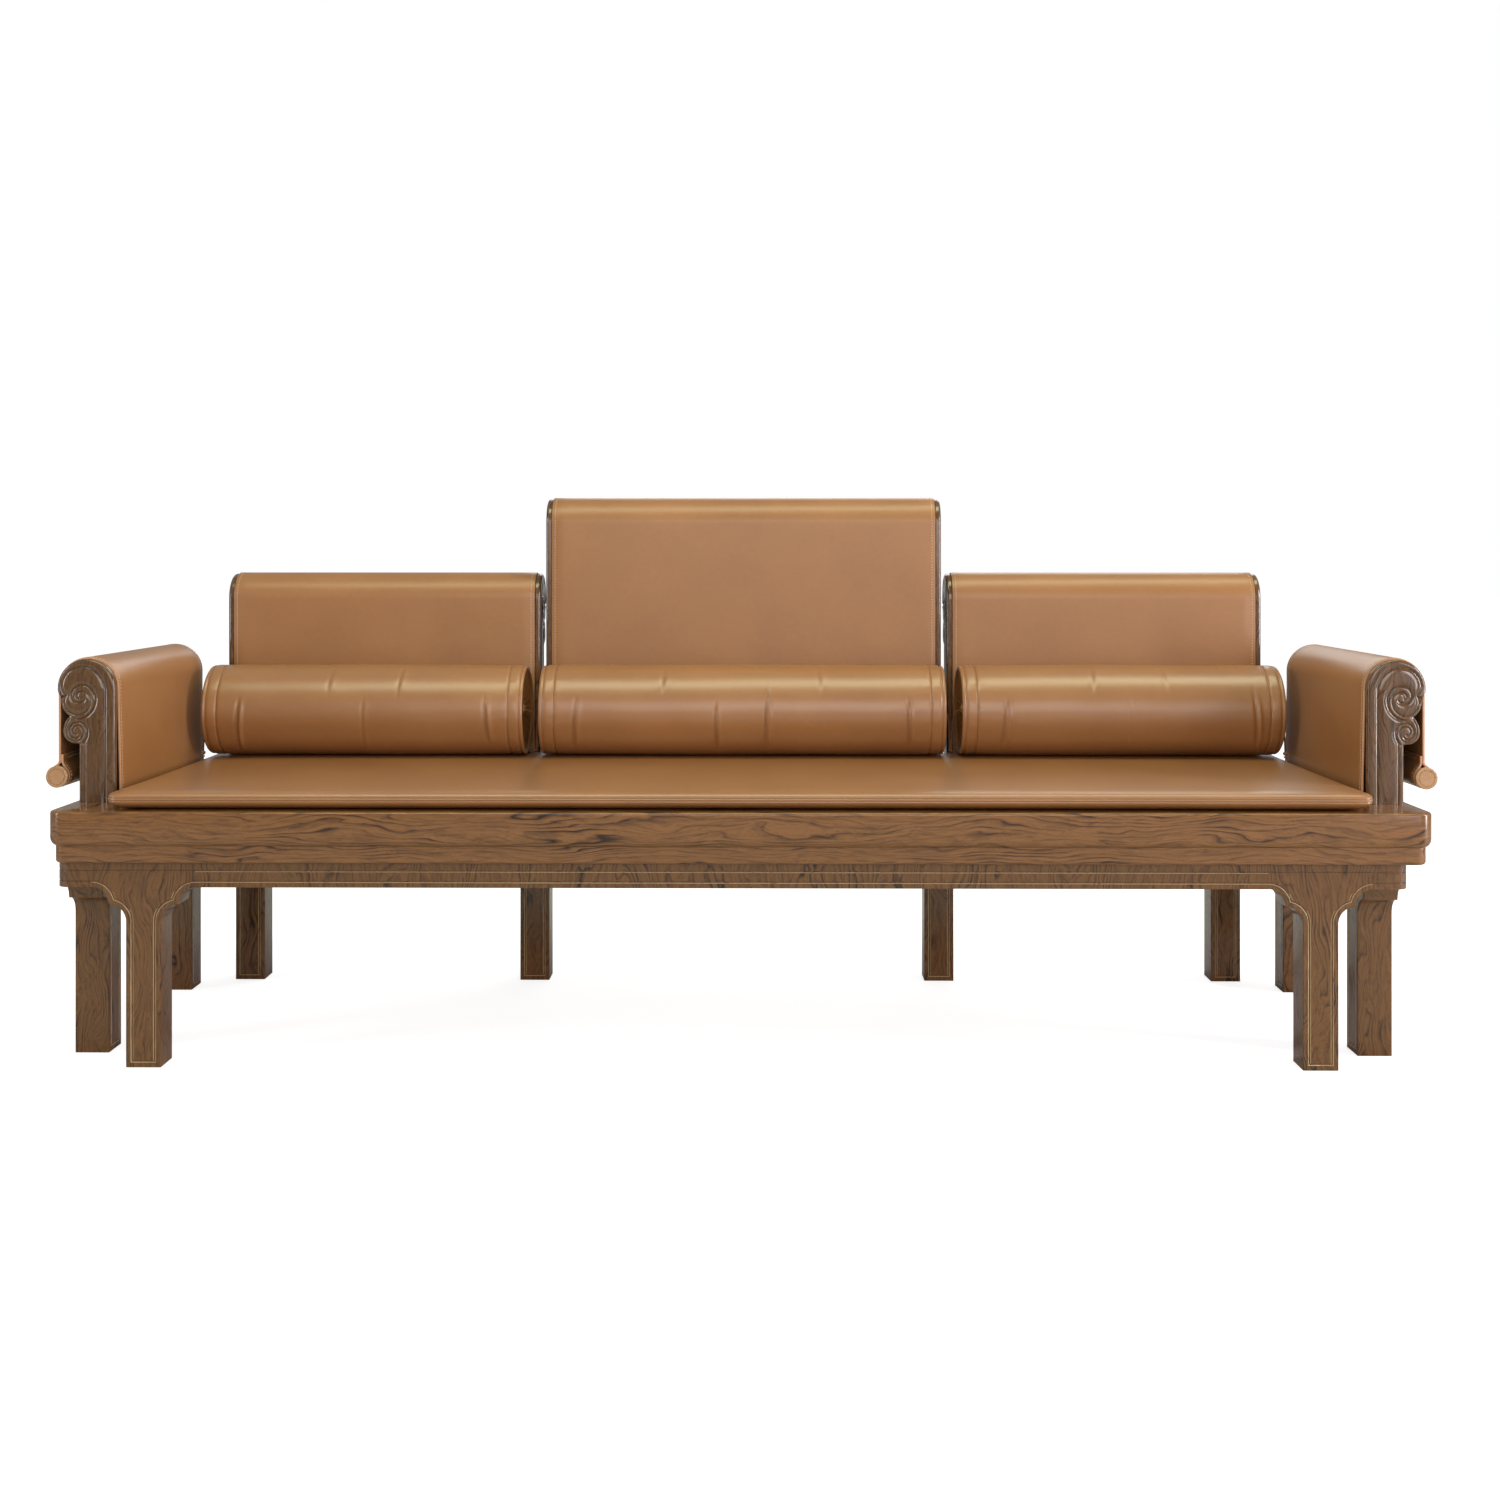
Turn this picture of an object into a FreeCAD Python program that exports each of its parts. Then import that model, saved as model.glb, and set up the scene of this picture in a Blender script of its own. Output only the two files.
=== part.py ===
import FreeCAD, Part
import math
import os

import Sketcher
from FreeCAD import Placement, Rotation, Vector

# A three-seat luohan settee in walnut with saddle leather slung over its arms and backs.
# Millimetres. X runs along the seat, Y from front to back, Z up, floor at zero.
# The origin is the bottom centre of the whole settee.

SIZES = [
    ("seat_width", 2200, "seat frame, side to side"),
    ("seat_depth", 694, "seat frame, front to back"),
    ("seat_top", 410.5, "floor to the top of the seat frame"),
    ("rail_width", 95, "seat rail, outer edge to inner edge"),
    ("rail_height", 56.5, "upper tier of the seat rail"),
    ("tier_height", 26.5, "lower tier of the seat rail"),
    ("tier_inset", 8.5, "lower tier, set in from the upper one"),
    ("rail_corner", 28, "plan radius of the seat frame corner"),
    ("rail_top_round", 4, "round on the top edge of the rail"),
    ("rail_foot_round", 14, "round under the upper tier"),
    ("tier_round", 5, "round under the lower tier"),
    ("board_thickness", 18, "seat board let into the rails"),
    ("rebate_width", 12, "ledge that carries the board"),
    ("batten_width", 60, "cross batten under the board"),
    ("batten_height", 38, "cross batten, top to bottom"),
    ("batten_spacing", 500, "between cross battens"),
    ("apron_inset", 21, "apron face, set in from the rail"),
    ("apron_height", 40, "apron, top to bottom"),
    ("apron_corner", 23, "plan radius of the apron corner"),
    ("base_shift", 12.8, "legs and apron stand this far to the left"),
    ("leg_size", 56, "square leg"),
    ("corner_leg_place", 937.3, "front and corner back legs from the middle"),
    ("middle_leg_place", 388.3, "middle back legs from the middle"),
    ("side_leg_place", 113, "side legs from the nearer apron face"),
    ("cove_radius", 27.5, "each of the two coves of the leg head"),
    ("leg_round", 1.6, "round on the long edges of the leg"),
    ("band_width", 10, "band between the leg edge and its groove"),
    ("groove_width", 2.2, "carved line"),
    ("groove_depth", 1.6, "carved line"),
    ("upper_line", 27, "upper carved line above the apron's foot"),
    ("leg_tenon_width", 36, "tenon on the leg head"),
    ("leg_tenon_thickness", 18, "tenon on the leg head"),
    ("leg_tenon_depth", 25, "tenon into the rail"),
    ("leg_tenon_back", 2, "tenon in from the inner face of the leg"),
    ("post_width", 58.8, "bracket post, inner to outer face"),
    ("post_margin", 14.6, "bracket post in from the seat edge"),
    ("head_radius", 47.9, "round head of the bracket"),
    ("board_face", 10, "bracket outside the leather"),
    ("board_seat", 14, "bracket under the leather"),
    ("relief", 4, "carving proud of the bracket board"),
    ("post_tenon_width", 34, "tenon under the bracket post"),
    ("post_tenon_thickness", 10, "tenon under the bracket post"),
    ("post_tenon_depth", 25, "tenon under the bracket post"),
    ("rim_width", 14, "rim carved along the inner edge"),
    ("rim_head_radius", 36, "inside of the rim over the head"),
    ("hook_drop", 10.1, "inside of the rim's hook below the head centre"),
    ("hook_end", 19.2, "tip of the rim's hook below the head centre"),
    ("outer_band", 8.8, "band carved along the outer edge of the post"),
    ("upper_scroll_radius", 28.3, "upper volute"),
    ("upper_scroll_x", 60.9, "upper volute from the inner face"),
    ("upper_scroll_drop", 22.4, "upper volute below the head centre"),
    ("lower_scroll_radius", 21, "lower volute"),
    ("lower_scroll_x", 65.5, "lower volute from the inner face"),
    ("lower_scroll_drop", 71, "lower volute below the head centre"),
    ("scroll_band", 7.3, "raised band of the volutes"),
    ("arm_rise", 236.5, "arm bracket above the seat"),
    ("side_back_rise", 370.2, "side back bracket above the seat"),
    ("centre_back_rise", 515.3, "centre back bracket above the seat"),
    ("arm_front", 106, "arm behind the front of the seat"),
    ("arm_length", 466, "arm, front bracket to rear bracket"),
    ("side_back_width", 602.7, "side back, bracket to bracket"),
    ("centre_back_width", 760.4, "centre back, bracket to bracket"),
    ("back_gap", 10.5, "between one back and the next"),
    ("hide", 4, "saddle leather"),
    ("hide_proud", 2.5, "leather proud of the bracket"),
    ("rod_radius", 14, "hem rod"),
    ("rod_height", 42.2, "hem rod above the seat"),
    ("cap_radius", 18, "turned end of the hem rod"),
    ("cap_thickness", 7, "turned end of the hem rod"),
    ("cap_inset", 2.5, "turned end behind the face of the bracket"),
    ("cap_round", 1.6, "round on the edge of the turned end"),
    ("cap_line", 13, "radius of the line cut in the turned end"),
    ("cap_line_width", 1.6, "line cut in the turned end"),
    ("cap_line_depth", 0.9, "line cut in the turned end"),
    ("hem_rise", 35.4, "inner ply of the hem above the rod"),
    ("fold_gap", 0.4, "between the fixed cover and its hanging fall"),
    ("pad_width", 2020, "seat mattress"),
    ("pad_depth", 601, "seat mattress"),
    ("pad_front", 11.5, "mattress behind the front of the seat"),
    ("pad_height", 33, "mattress at its crown"),
    ("pad_corner", 24, "plan radius of the mattress corner"),
    ("pad_draw", 4, "sides drawn in between the corners"),
    ("pad_crown", 110, "flat crown of the mattress in from its side"),
    ("bolster_radius", 84, "round bolster"),
    ("bolster_end", 994.8, "outer end of the side bolsters"),
    ("bolster_near", 403.2, "inner end of the side bolsters"),
    ("bolster_half", 374.8, "half the centre bolster"),
    ("bolster_gap", 0.6, "bolster clear of the leather behind it"),
    ("piping_radius", 4, "piped rim of the bolster"),
    ("seam_place", 28, "sewn seam from the bolster's end"),
    ("seam_width", 2.4, "sewn seam"),
    ("seam_depth", 1.4, "sewn seam"),
    ("skin_drop", 1, "bolster's skin at the seams below its middle"),
    ("dish_depth", 12, "gathered end of the bolster"),
    ("knot_radius", 9, "knot in the gathered end"),
    ("tie_radius", 1.5, "tie cord"),
    ("bead_radius", 4.2, "bead on a tie cord"),
    ("ring_radius", 3, "small bead below it"),
]

doc = FreeCAD.newDocument("settee")
sheet = doc.addObject("Spreadsheet::Sheet", "dims")
for row, (alias, value, meaning) in enumerate(SIZES, start=1):
    sheet.set("A%d" % row, meaning)
    sheet.set("B%d" % row, str(value))
    sheet.setAlias("B%d" % row, alias)
doc.recompute()


class Dim:
    """A length: its value and the sheet formula that gives it."""

    def __init__(self, value, formula):
        self.value = float(value)
        self.formula = formula

    def __add__(self, other):
        other = as_dim(other)
        return Dim(self.value + other.value, "(%s + %s)" % (self.formula, other.formula))

    def __sub__(self, other):
        other = as_dim(other)
        return Dim(self.value - other.value, "(%s - %s)" % (self.formula, other.formula))

    def __mul__(self, other):
        other = as_dim(other)
        return Dim(self.value * other.value, "(%s * %s)" % (self.formula, other.formula))

    def __truediv__(self, other):
        other = as_dim(other)
        return Dim(self.value / other.value, "(%s / %s)" % (self.formula, other.formula))

    def __neg__(self):
        return self * -1


def as_dim(number):
    return number if isinstance(number, Dim) else Dim(number, "(%r)" % float(number))


def root(dim):
    return Dim(math.sqrt(dim.value), "sqrt(%s)" % dim.formula)


class Sizes:
    """Reads a driving dimension from the sheet by its name."""

    def __getattr__(self, alias):
        return Dim(sheet.get(alias), "dims." + alias)


size = Sizes()
ZERO = as_dim(0)
DIAGONAL = math.sqrt(0.5)

# Carved scrolls: shares of a volute's radius, and angles in degrees above the horizontal.
UPPER_START = 34
UPPER_SWITCH = 108
UPPER_END = -20
UPPER_TURN_OUT = 0.45
UPPER_TURN_IN = 0.315
UPPER_EYE = 0.29
UPPER_EYE_RISE = 0.31
LOWER_START = 52
LOWER_END = -5
LOWER_FLARE = 0.68
LOWER_TURN = 0.69
LOWER_BAND = 0.88
LOWER_EYE = 0.2
LOWER_EYE_SHIFT = 0.22
POST_BAND_TOP = 0.638

# Side of the mattress: height above the seat, and how far in from its widest line.
PAD_SIDE = [(0, 16), (3, 9), (8, 3.5), (14, 0.6), (18, 0), (23, 1.6), (27, 6), (30, 16), (32, 50)]

# The tie cords: how far each point lies out from the bolster's end, back along y and above
# its axis. The outer ones hang over the mattress edge, the inner ones end on the mattress.
OUTER_TIE = [(-8, 0, 0), (7, 0, -1.5), (14, 0.8, -14), (17, -0.6, -34), (18.8, 0.4, -56), (19.5, 0, -79)]
INNER_TIE = [(-8, 0, 0), (3, 0.2, -1), (9, 0.5, -9.5), (11.2, -0.4, -26), (12.4, 0.3, -48), (12.9, 0, -76)]
TIES_APART = 3
BEAD_HANG = 0.6
RING_HANG = 0.8

# Heights and depths that several pieces share.
rail_foot = size.seat_top - size.rail_height - size.tier_height
apron_foot = rail_foot - size.apron_height
head_top = apron_foot + size.upper_line
head_half = size.leg_size / 2 + size.cove_radius * 2
post_inset = size.post_margin + size.post_width
core_inset = size.hide - size.hide_proud
head_width = size.head_radius * 2
rod_x = head_width + size.hide_proud - 1
back_front = size.seat_depth - post_inset
total_depth = back_front + rod_x + size.cap_radius
front_y = total_depth / -2
rear_y = front_y + size.seat_depth
middle_y = front_y + size.seat_depth / 2
pad_top = size.seat_top + size.pad_height
bolster_y = front_y + back_front - size.hide_proud - size.bolster_gap - size.bolster_radius
bolster_z = pad_top + size.bolster_radius

subparts = []
sketch_count = 0


def new_body(name):
    body = doc.addObject("PartDesign::Body", name)
    body.Label = name
    subparts.append(body)
    return body


def origin_plane(body, role):
    return [feature for feature in body.Origin.OriginFeatures if feature.Role == role][0]


def new_sketch(body, role, offset=ZERO):
    """A sketch on one of the body's own planes, moved along that plane's normal."""
    global sketch_count
    sketch_count += 1
    sketch = body.newObject("Sketcher::SketchObject", "outline_%d" % sketch_count)
    sketch.AttachmentSupport = (origin_plane(body, role), [""])
    sketch.MapMode = "FlatFace"
    sketch.AttachmentOffset = Placement(Vector(0, 0, offset.value), Rotation())
    sketch.setExpression("AttachmentOffset.Base.z", offset.formula)
    return sketch


def bind(sketch, held):
    """Adds the constraints in one go and ties each to its formula."""
    indices = sketch.addConstraint([constraint for constraint, dim in held])
    for index, (constraint, dim) in zip(indices, held):
        if dim is not None:
            sketch.setExpression("Constraints[%d]" % index, dim.formula)


def draw(sketch, corners):
    """A closed outline. A corner is (x, y), or (x, y, centre x, centre y, turn) where an arc
    leaves it: turn 1 is anticlockwise and -1 clockwise."""
    spots = [(as_dim(corner[0]), as_dim(corner[1])) for corner in corners]
    starts = []
    ends = []
    held = []
    for i, corner in enumerate(corners):
        j = (i + 1) % len(corners)
        start = Vector(spots[i][0].value, spots[i][1].value, 0)
        end = Vector(spots[j][0].value, spots[j][1].value, 0)
        if len(corner) == 2:
            geometry = sketch.addGeometry(Part.LineSegment(start, end))
            starts.append((geometry, 1))
            ends.append((geometry, 2))
            continue
        centre_x, centre_y, turn = as_dim(corner[2]), as_dim(corner[3]), corner[4]
        centre = Vector(centre_x.value, centre_y.value, 0)
        first, last = (start, end) if turn > 0 else (end, start)
        circle = Part.Circle(centre, Vector(0, 0, 1), (first - centre).Length)
        begin = math.atan2(first.y - centre.y, first.x - centre.x)
        stop = math.atan2(last.y - centre.y, last.x - centre.x)
        if stop <= begin:
            stop += 2 * math.pi
        geometry = sketch.addGeometry(Part.ArcOfCircle(circle, begin, stop))
        starts.append((geometry, 1 if turn > 0 else 2))
        ends.append((geometry, 2 if turn > 0 else 1))
        chord = end - start
        if abs(chord.y) > abs(chord.x):
            held.append((Sketcher.Constraint("DistanceX", geometry, 3, centre.x), centre_x))
        else:
            held.append((Sketcher.Constraint("DistanceY", geometry, 3, centre.y), centre_y))
    for i, (x, y) in enumerate(spots):
        j = (i + 1) % len(corners)
        held.append((Sketcher.Constraint("Coincident", *ends[i], *starts[j]), None))
        held.append((Sketcher.Constraint("DistanceX", *starts[i], x.value), x))
        held.append((Sketcher.Constraint("DistanceY", *starts[i], y.value), y))
    bind(sketch, held)
    return sketch


def draw_circle(sketch, x, y, radius):
    x, y, radius = as_dim(x), as_dim(y), as_dim(radius)
    circle = Part.Circle(Vector(x.value, y.value, 0), Vector(0, 0, 1), radius.value)
    geometry = sketch.addGeometry(circle)
    bind(
        sketch,
        [
            (Sketcher.Constraint("DistanceX", geometry, 3, x.value), x),
            (Sketcher.Constraint("DistanceY", geometry, 3, y.value), y),
            (Sketcher.Constraint("Radius", geometry, radius.value), radius),
        ],
    )
    return sketch


def box(x_low, x_high, y_low, y_high):
    return [(x_low, y_low), (x_high, y_low), (x_high, y_high), (x_low, y_high)]


def extrude(body, kind, sketch, length, reverse):
    feature = body.newObject("PartDesign::" + kind, "%s_%d" % (kind.lower(), sketch_count))
    feature.Profile = sketch
    feature.Reversed = reverse
    feature.Length = length.value
    feature.setExpression("Length", length.formula)
    return feature


def pad(body, sketch, length, reverse=False):
    return extrude(body, "Pad", sketch, length, reverse)


def pocket(body, sketch, length, reverse=False):
    """Cuts, and fails loudly where nothing is cut."""
    doc.recompute()
    before = body.Tip.Shape.Volume
    feature = extrude(body, "Pocket", sketch, length, reverse)
    doc.recompute()
    if feature.Shape.isNull() or feature.Shape.Volume > before - 1:
        raise RuntimeError("%s: %s cuts nothing" % (body.Label, feature.Name))
    return feature


def round_edges(body, radius, chosen):
    """Rounds the edges of the body so far that the test picks."""
    doc.recompute()
    base = body.Tip
    names = ["Edge%d" % (i + 1) for i, edge in enumerate(base.Shape.Edges) if chosen(edge)]
    if not names:
        raise RuntimeError("%s: no edge to round" % body.Label)
    fillet = body.newObject("PartDesign::Fillet", "round_%d" % sketch_count)
    fillet.Base = (base, names)
    fillet.Radius = radius.value
    fillet.setExpression("Radius", radius.formula)
    doc.recompute()
    return fillet


def place(body, x, y, z, turn=0):
    x, y, z = as_dim(x), as_dim(y), as_dim(z)
    spot = Vector(x.value, y.value, z.value)
    body.Placement = Placement(spot, Rotation(Vector(0, 0, 1), turn))
    body.setExpression("Placement.Base.x", x.formula)
    body.setExpression("Placement.Base.y", y.formula)
    body.setExpression("Placement.Base.z", z.formula)


# Mitred frame members. In its own frame a member runs along X, its outer edge is at y = 0 of
# the seat frame, and y grows towards the middle of the settee.


def mitred_plan(length, inset, corner, inner):
    """Plan of a member whose ends meet the next one at 45 degrees on a rounded corner."""
    half = length / 2 - inset
    rest = corner * (1 - DIAGONAL)
    return [
        (inner - length / 2, inner),
        (rest - half, inset + rest, corner - half, inset + corner, 1),
        (corner - half, inset),
        (half - corner, inset, half - corner, inset + corner, 1),
        (half - rest, inset + rest),
        (length / 2 - inner, inner),
    ]


def edge_strip(length, inset, corner, depth):
    """Plan of a line carved along the outer edge of a mitred member."""
    half = length / 2 - inset
    rest = corner * (1 - DIAGONAL)
    inside = corner - depth
    deep = rest + depth * DIAGONAL
    return [
        (rest - half, inset + rest, corner - half, inset + corner, 1),
        (corner - half, inset),
        (half - corner, inset, half - corner, inset + corner, 1),
        (half - rest, inset + rest),
        (half - deep, inset + deep, half - corner, inset + corner, -1),
        (half - corner, inset + corner - inside),
        (corner - half, inset + corner - inside, corner - half, inset + corner, -1),
        (deep - half, inset + deep),
    ]


def on_outer_outline(edge, height, inner):
    """True for an edge at that height that belongs to the outer outline of a member."""
    bounds = edge.BoundBox
    level = abs(bounds.ZMin - height) < 0.01 and abs(bounds.ZMax - height) < 0.01
    if not level or bounds.YMax > inner - 1:
        return False
    if edge.Curve.TypeId == "Part::GeomCircle":
        return True
    return bounds.YLength < 0.01


def seat_rail(name, length, x, y, turn, leg_mortises, leg_depth, battens, post_mortises):
    """A seat rail with its stepped edge, board rebate, batten housings and mortises.
    Z is zero at the top of the seat."""
    body = new_body(name)
    upper = draw(
        new_sketch(body, "XY_Plane", -size.rail_height),
        mitred_plan(length, ZERO, size.rail_corner, size.rail_width),
    )
    pad(body, upper, size.rail_height)
    foot = -size.rail_height.value
    inner = size.rail_width.value
    round_edges(body, size.rail_top_round, lambda edge: on_outer_outline(edge, 0, inner))
    round_edges(body, size.rail_foot_round, lambda edge: on_outer_outline(edge, foot, inner))
    overlap = 3
    lower = draw(
        new_sketch(body, "XY_Plane", -size.rail_height - size.tier_height),
        mitred_plan(length, size.tier_inset, size.rail_corner - size.tier_inset, size.rail_width),
    )
    pad(body, lower, size.tier_height + overlap)
    bottom = foot - size.tier_height.value
    round_edges(body, size.tier_round, lambda edge: on_outer_outline(edge, bottom, inner))
    ledge = size.rail_width - size.rebate_width
    reach = length / 2 - ledge
    rebate = draw(new_sketch(body, "XY_Plane"), box(-reach, reach, ledge, size.rail_width + 1))
    pocket(body, rebate, size.board_thickness)
    for along in battens:
        half = size.batten_width / 2
        housing = box(along - half, along + half, ledge, size.rail_width + 1)
        housing = draw(new_sketch(body, "XY_Plane"), housing)
        pocket(body, housing, size.board_thickness + size.batten_height)
    for along in leg_mortises:
        half = size.leg_tenon_width / 2
        hole = box(along - half, along + half, leg_depth, leg_depth + size.leg_tenon_thickness)
        hole = draw(new_sketch(body, "XY_Plane", -size.rail_height - size.tier_height), hole)
        pocket(body, hole, size.leg_tenon_depth, reverse=True)
    for low, high in post_mortises:
        near = size.post_margin + (size.post_width - size.post_tenon_width) / 2
        hole = draw(
            new_sketch(body, "XY_Plane"),
            box(low, high, near, near + size.post_tenon_width),
        )
        pocket(body, hole, size.post_tenon_depth)
    place(body, x, y, size.seat_top, turn)
    return body


def apron(name, length, x, y, turn, heads, side_heads, tenons):
    """An apron with its two carved lines, cut away over the leg heads.
    Z is zero at the apron's foot."""
    body = new_body(name)
    outer = size.apron_inset
    inner = size.apron_inset + size.leg_size
    plan = draw(new_sketch(body, "XY_Plane"), mitred_plan(length, outer, size.apron_corner, inner))
    pad(body, plan, size.apron_height)
    for level in (size.band_width, size.upper_line):
        line = draw(
            new_sketch(body, "XY_Plane", level + size.groove_width / 2),
            edge_strip(length, outer, size.apron_corner, size.groove_depth),
        )
        pocket(body, line, size.groove_width)
    for along in heads:
        notch = box(along - head_half, along + head_half, outer - 1, inner + 1)
        notch = draw(new_sketch(body, "XY_Plane"), notch)
        pocket(body, notch, size.upper_line, reverse=True)
    for side in side_heads:
        far = length / 2 - outer
        near = outer + size.side_leg_place - head_half
        low, high = (far - size.leg_size, far + 1) if side > 0 else (-far - 1, size.leg_size - far)
        notch = draw(new_sketch(body, "XY_Plane"), box(low, high, near, inner + 1))
        pocket(body, notch, size.upper_line, reverse=True)
    for along in tenons:
        half = size.leg_tenon_width / 2
        deep = inner - size.leg_tenon_back
        hole = box(along - half, along + half, deep - size.leg_tenon_thickness, deep)
        hole = draw(new_sketch(body, "XY_Plane"), hole)
        pocket(body, hole, size.apron_height, reverse=True)
    place(body, x, y, apron_foot, turn)
    return body


def leg_outline():
    """A square leg whose head spreads in two coves on each side."""
    half = size.leg_size / 2
    cove = size.cove_radius
    low = apron_foot - cove * 2
    middle = apron_foot - cove
    return [
        (-half, 0),
        (half, 0),
        (half, low, half + cove, low, -1),
        (half + cove, middle, half + cove * 2, middle, -1),
        (half + cove * 2, apron_foot),
        (half + cove * 2, head_top),
        (-half - cove * 2, head_top),
        (-half - cove * 2, apron_foot, -half - cove * 2, middle, -1),
        (-half - cove, middle, -half - cove, low, -1),
        (-half, low),
    ]


def leg_line_side(shift):
    """One side of the carved line, from the foot up to where it meets the apron's line.
    Shift is how far the side lies from the leg's edge."""
    half = size.leg_size / 2
    cove = size.cove_radius
    low = apron_foot - cove * 2
    middle = apron_foot - cove
    radius = cove + shift
    spread = cove / 2
    rise = root(radius * radius - spread * spread * 2) * DIAGONAL
    return [
        (half - shift, low, half + cove, low, -1),
        (half + cove + spread - rise, middle - spread + rise, half + cove * 2, middle, -1),
        (half + cove * 2, apron_foot + shift),
    ]


def mirrored_corner(corner):
    """The same corner on the left of the leg, for an outline walked the other way."""
    return (-as_dim(corner[0]), corner[1])


def leg_line():
    """The carved line round the leg's face, closed above the foot and open at the head."""
    wide = size.groove_width / 2
    outside = leg_line_side(size.band_width - wide)
    inside = leg_line_side(size.band_width + wide)
    foot_low = size.band_width - wide
    foot_high = size.band_width + wide
    half = size.leg_size / 2
    corners = [(half - foot_low, foot_low)] + outside
    corners += [inside[2] + (inside[1][2], inside[1][3], 1)]
    corners += [inside[1][:2] + (inside[0][2], inside[0][3], 1)]
    corners += [inside[0][:2], (half - foot_high, foot_high), (foot_high - half, foot_high)]
    corners += [mirrored_corner(inside[0]) + (-inside[0][2], inside[0][3], 1)]
    corners += [mirrored_corner(inside[1]) + (-inside[1][2], inside[1][3], 1)]
    corners += [mirrored_corner(inside[2])]
    corners += [mirrored_corner(outside[2]) + (-outside[1][2], outside[1][3], -1)]
    corners += [mirrored_corner(outside[1]) + (-outside[0][2], outside[0][3], -1)]
    corners += [mirrored_corner(outside[0]), (foot_low - half, foot_low)]
    return corners


def leg(name, x, y, turn):
    """A leg with its outer face at y = 0, standing on the floor."""
    body = new_body(name)
    pad(body, draw(new_sketch(body, "XZ_Plane"), leg_outline()), size.leg_size, reverse=True)
    deep = size.leg_size.value
    limit = apron_foot.value

    def long_edge(edge):
        bounds = edge.BoundBox
        on_face = bounds.YLength < 0.01 and (bounds.YMin < 0.01 or bounds.YMin > deep - 0.01)
        return on_face and bounds.ZLength > 1 and bounds.ZMax < limit + 0.01

    round_edges(body, size.leg_round, long_edge)
    pocket(body, draw(new_sketch(body, "XZ_Plane"), leg_line()), size.groove_depth)
    inner_line = draw(new_sketch(body, "XZ_Plane", -size.leg_size), leg_line())
    pocket(body, inner_line, size.groove_depth, reverse=True)
    half = size.leg_tenon_width / 2
    near = size.leg_size - size.leg_tenon_back - size.leg_tenon_thickness
    tenon = box(-half, half, near, near + size.leg_tenon_thickness)
    tenon = draw(new_sketch(body, "XY_Plane", head_top), tenon)
    pad(body, tenon, size.apron_height - size.upper_line + size.leg_tenon_depth)
    place(body, x, y, 0, turn)
    return body


# An arm or a back: two carved brackets, a core between them, the leather slung over the
# core, its hanging fall and the rod in the hem. In its own frame the inner face is at x = 0,
# the head curls towards +x, the unit runs along y, and z is zero on the seat.


def layer(body, shape, near, far, length, at_end):
    """Pads an outline or circle between two depths, measured from the outer face of the
    bracket at the start of the unit, or mirrored to its end."""
    low = length - far if at_end else as_dim(near)
    sketch = new_sketch(body, "XZ_Plane", -low)
    if len(shape) == 3 and not isinstance(shape[0], tuple):
        draw_circle(sketch, *shape)
    else:
        draw(sketch, shape)
    return pad(body, sketch, as_dim(far) - near, reverse=True)


def rim_outline(rise):
    """The raised rim: up the inner edge, over the head and down to the hook of the scroll."""
    radius = size.head_radius
    centre = rise - radius
    inside = size.rim_head_radius
    inside_x = size.rim_width + inside
    hook_x = inside_x + root(inside * inside - size.hook_drop * size.hook_drop)
    end_x = radius + root(radius * radius - size.hook_end * size.hook_end)
    return [
        (0, 0),
        (size.rim_width, 0),
        (size.rim_width, centre, inside_x, centre, -1),
        (hook_x, centre - size.hook_drop),
        (end_x, centre - size.hook_end, radius, centre, 1),
        (0, centre),
    ]


def on_circle(x, z, radius, angle):
    """The point of a circle at that many degrees above the horizontal."""
    turn = math.radians(angle)
    return x + radius * math.cos(turn), z + radius * math.sin(turn)


def rounded_tip(start, end):
    """The corner from which a half circle leads clockwise to the end point."""
    return start + ((start[0] + end[0]) / 2, (start[1] + end[1]) / 2, -1)


def upper_volute(x, z):
    """The band that leaves the hook, runs under, up and over, and ends beside the eye."""
    radius = size.upper_scroll_radius
    width = size.scroll_band
    inner = radius - width
    over = radius * UPPER_TURN_OUT
    under = inner * UPPER_TURN_IN
    over_centre = on_circle(x, z, radius - over, UPPER_SWITCH)
    under_centre = on_circle(x, z, inner - under, UPPER_SWITCH)
    tip = on_circle(*over_centre, over, UPPER_END)
    heel = on_circle(*under_centre, under, UPPER_END)
    return [
        on_circle(x, z, radius, UPPER_START) + (x, z, -1),
        on_circle(x, z, radius, UPPER_SWITCH) + over_centre + (-1,),
        rounded_tip(tip, heel),
        heel + under_centre + (1,),
        on_circle(x, z, inner, UPPER_SWITCH) + (x, z, 1),
        on_circle(x, z, inner, UPPER_START),
    ]


def lower_volute(x, z):
    """The band that comes from under the upper volute, runs round and closes on the eye.
    Its arcs have their centres on one level."""
    radius = size.lower_scroll_radius
    width = size.scroll_band * LOWER_BAND
    inner = radius - width
    flare = radius * LOWER_FLARE
    over = radius * LOWER_TURN
    over_centre = (x - radius + over, z)
    tip = on_circle(*over_centre, over, LOWER_END)
    heel = on_circle(*over_centre, over - width, LOWER_END)
    return [
        on_circle(x - flare, z, radius + flare, LOWER_START) + (x - flare, z, -1),
        (x + radius, z, x, z, -1),
        (x - radius, z) + over_centre + (-1,),
        rounded_tip(tip, heel),
        heel + over_centre + (1,),
        (x - inner, z, x, z, 1),
        (x + inner, z, x - flare, z, 1),
        on_circle(x - flare, z, inner + flare, LOWER_START),
    ]


def scroll_neck(x, z):
    """The board between the two volutes, where the lower one comes from under the upper."""
    radius = size.lower_scroll_radius
    flare = radius * LOWER_FLARE
    top = on_circle(x - flare, z, radius + flare, LOWER_START)
    overlap = 2
    inside = size.post_width - overlap
    return [(inside, z), (x + radius, z, x - flare, z, 1), top, (inside, top[1])]


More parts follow.
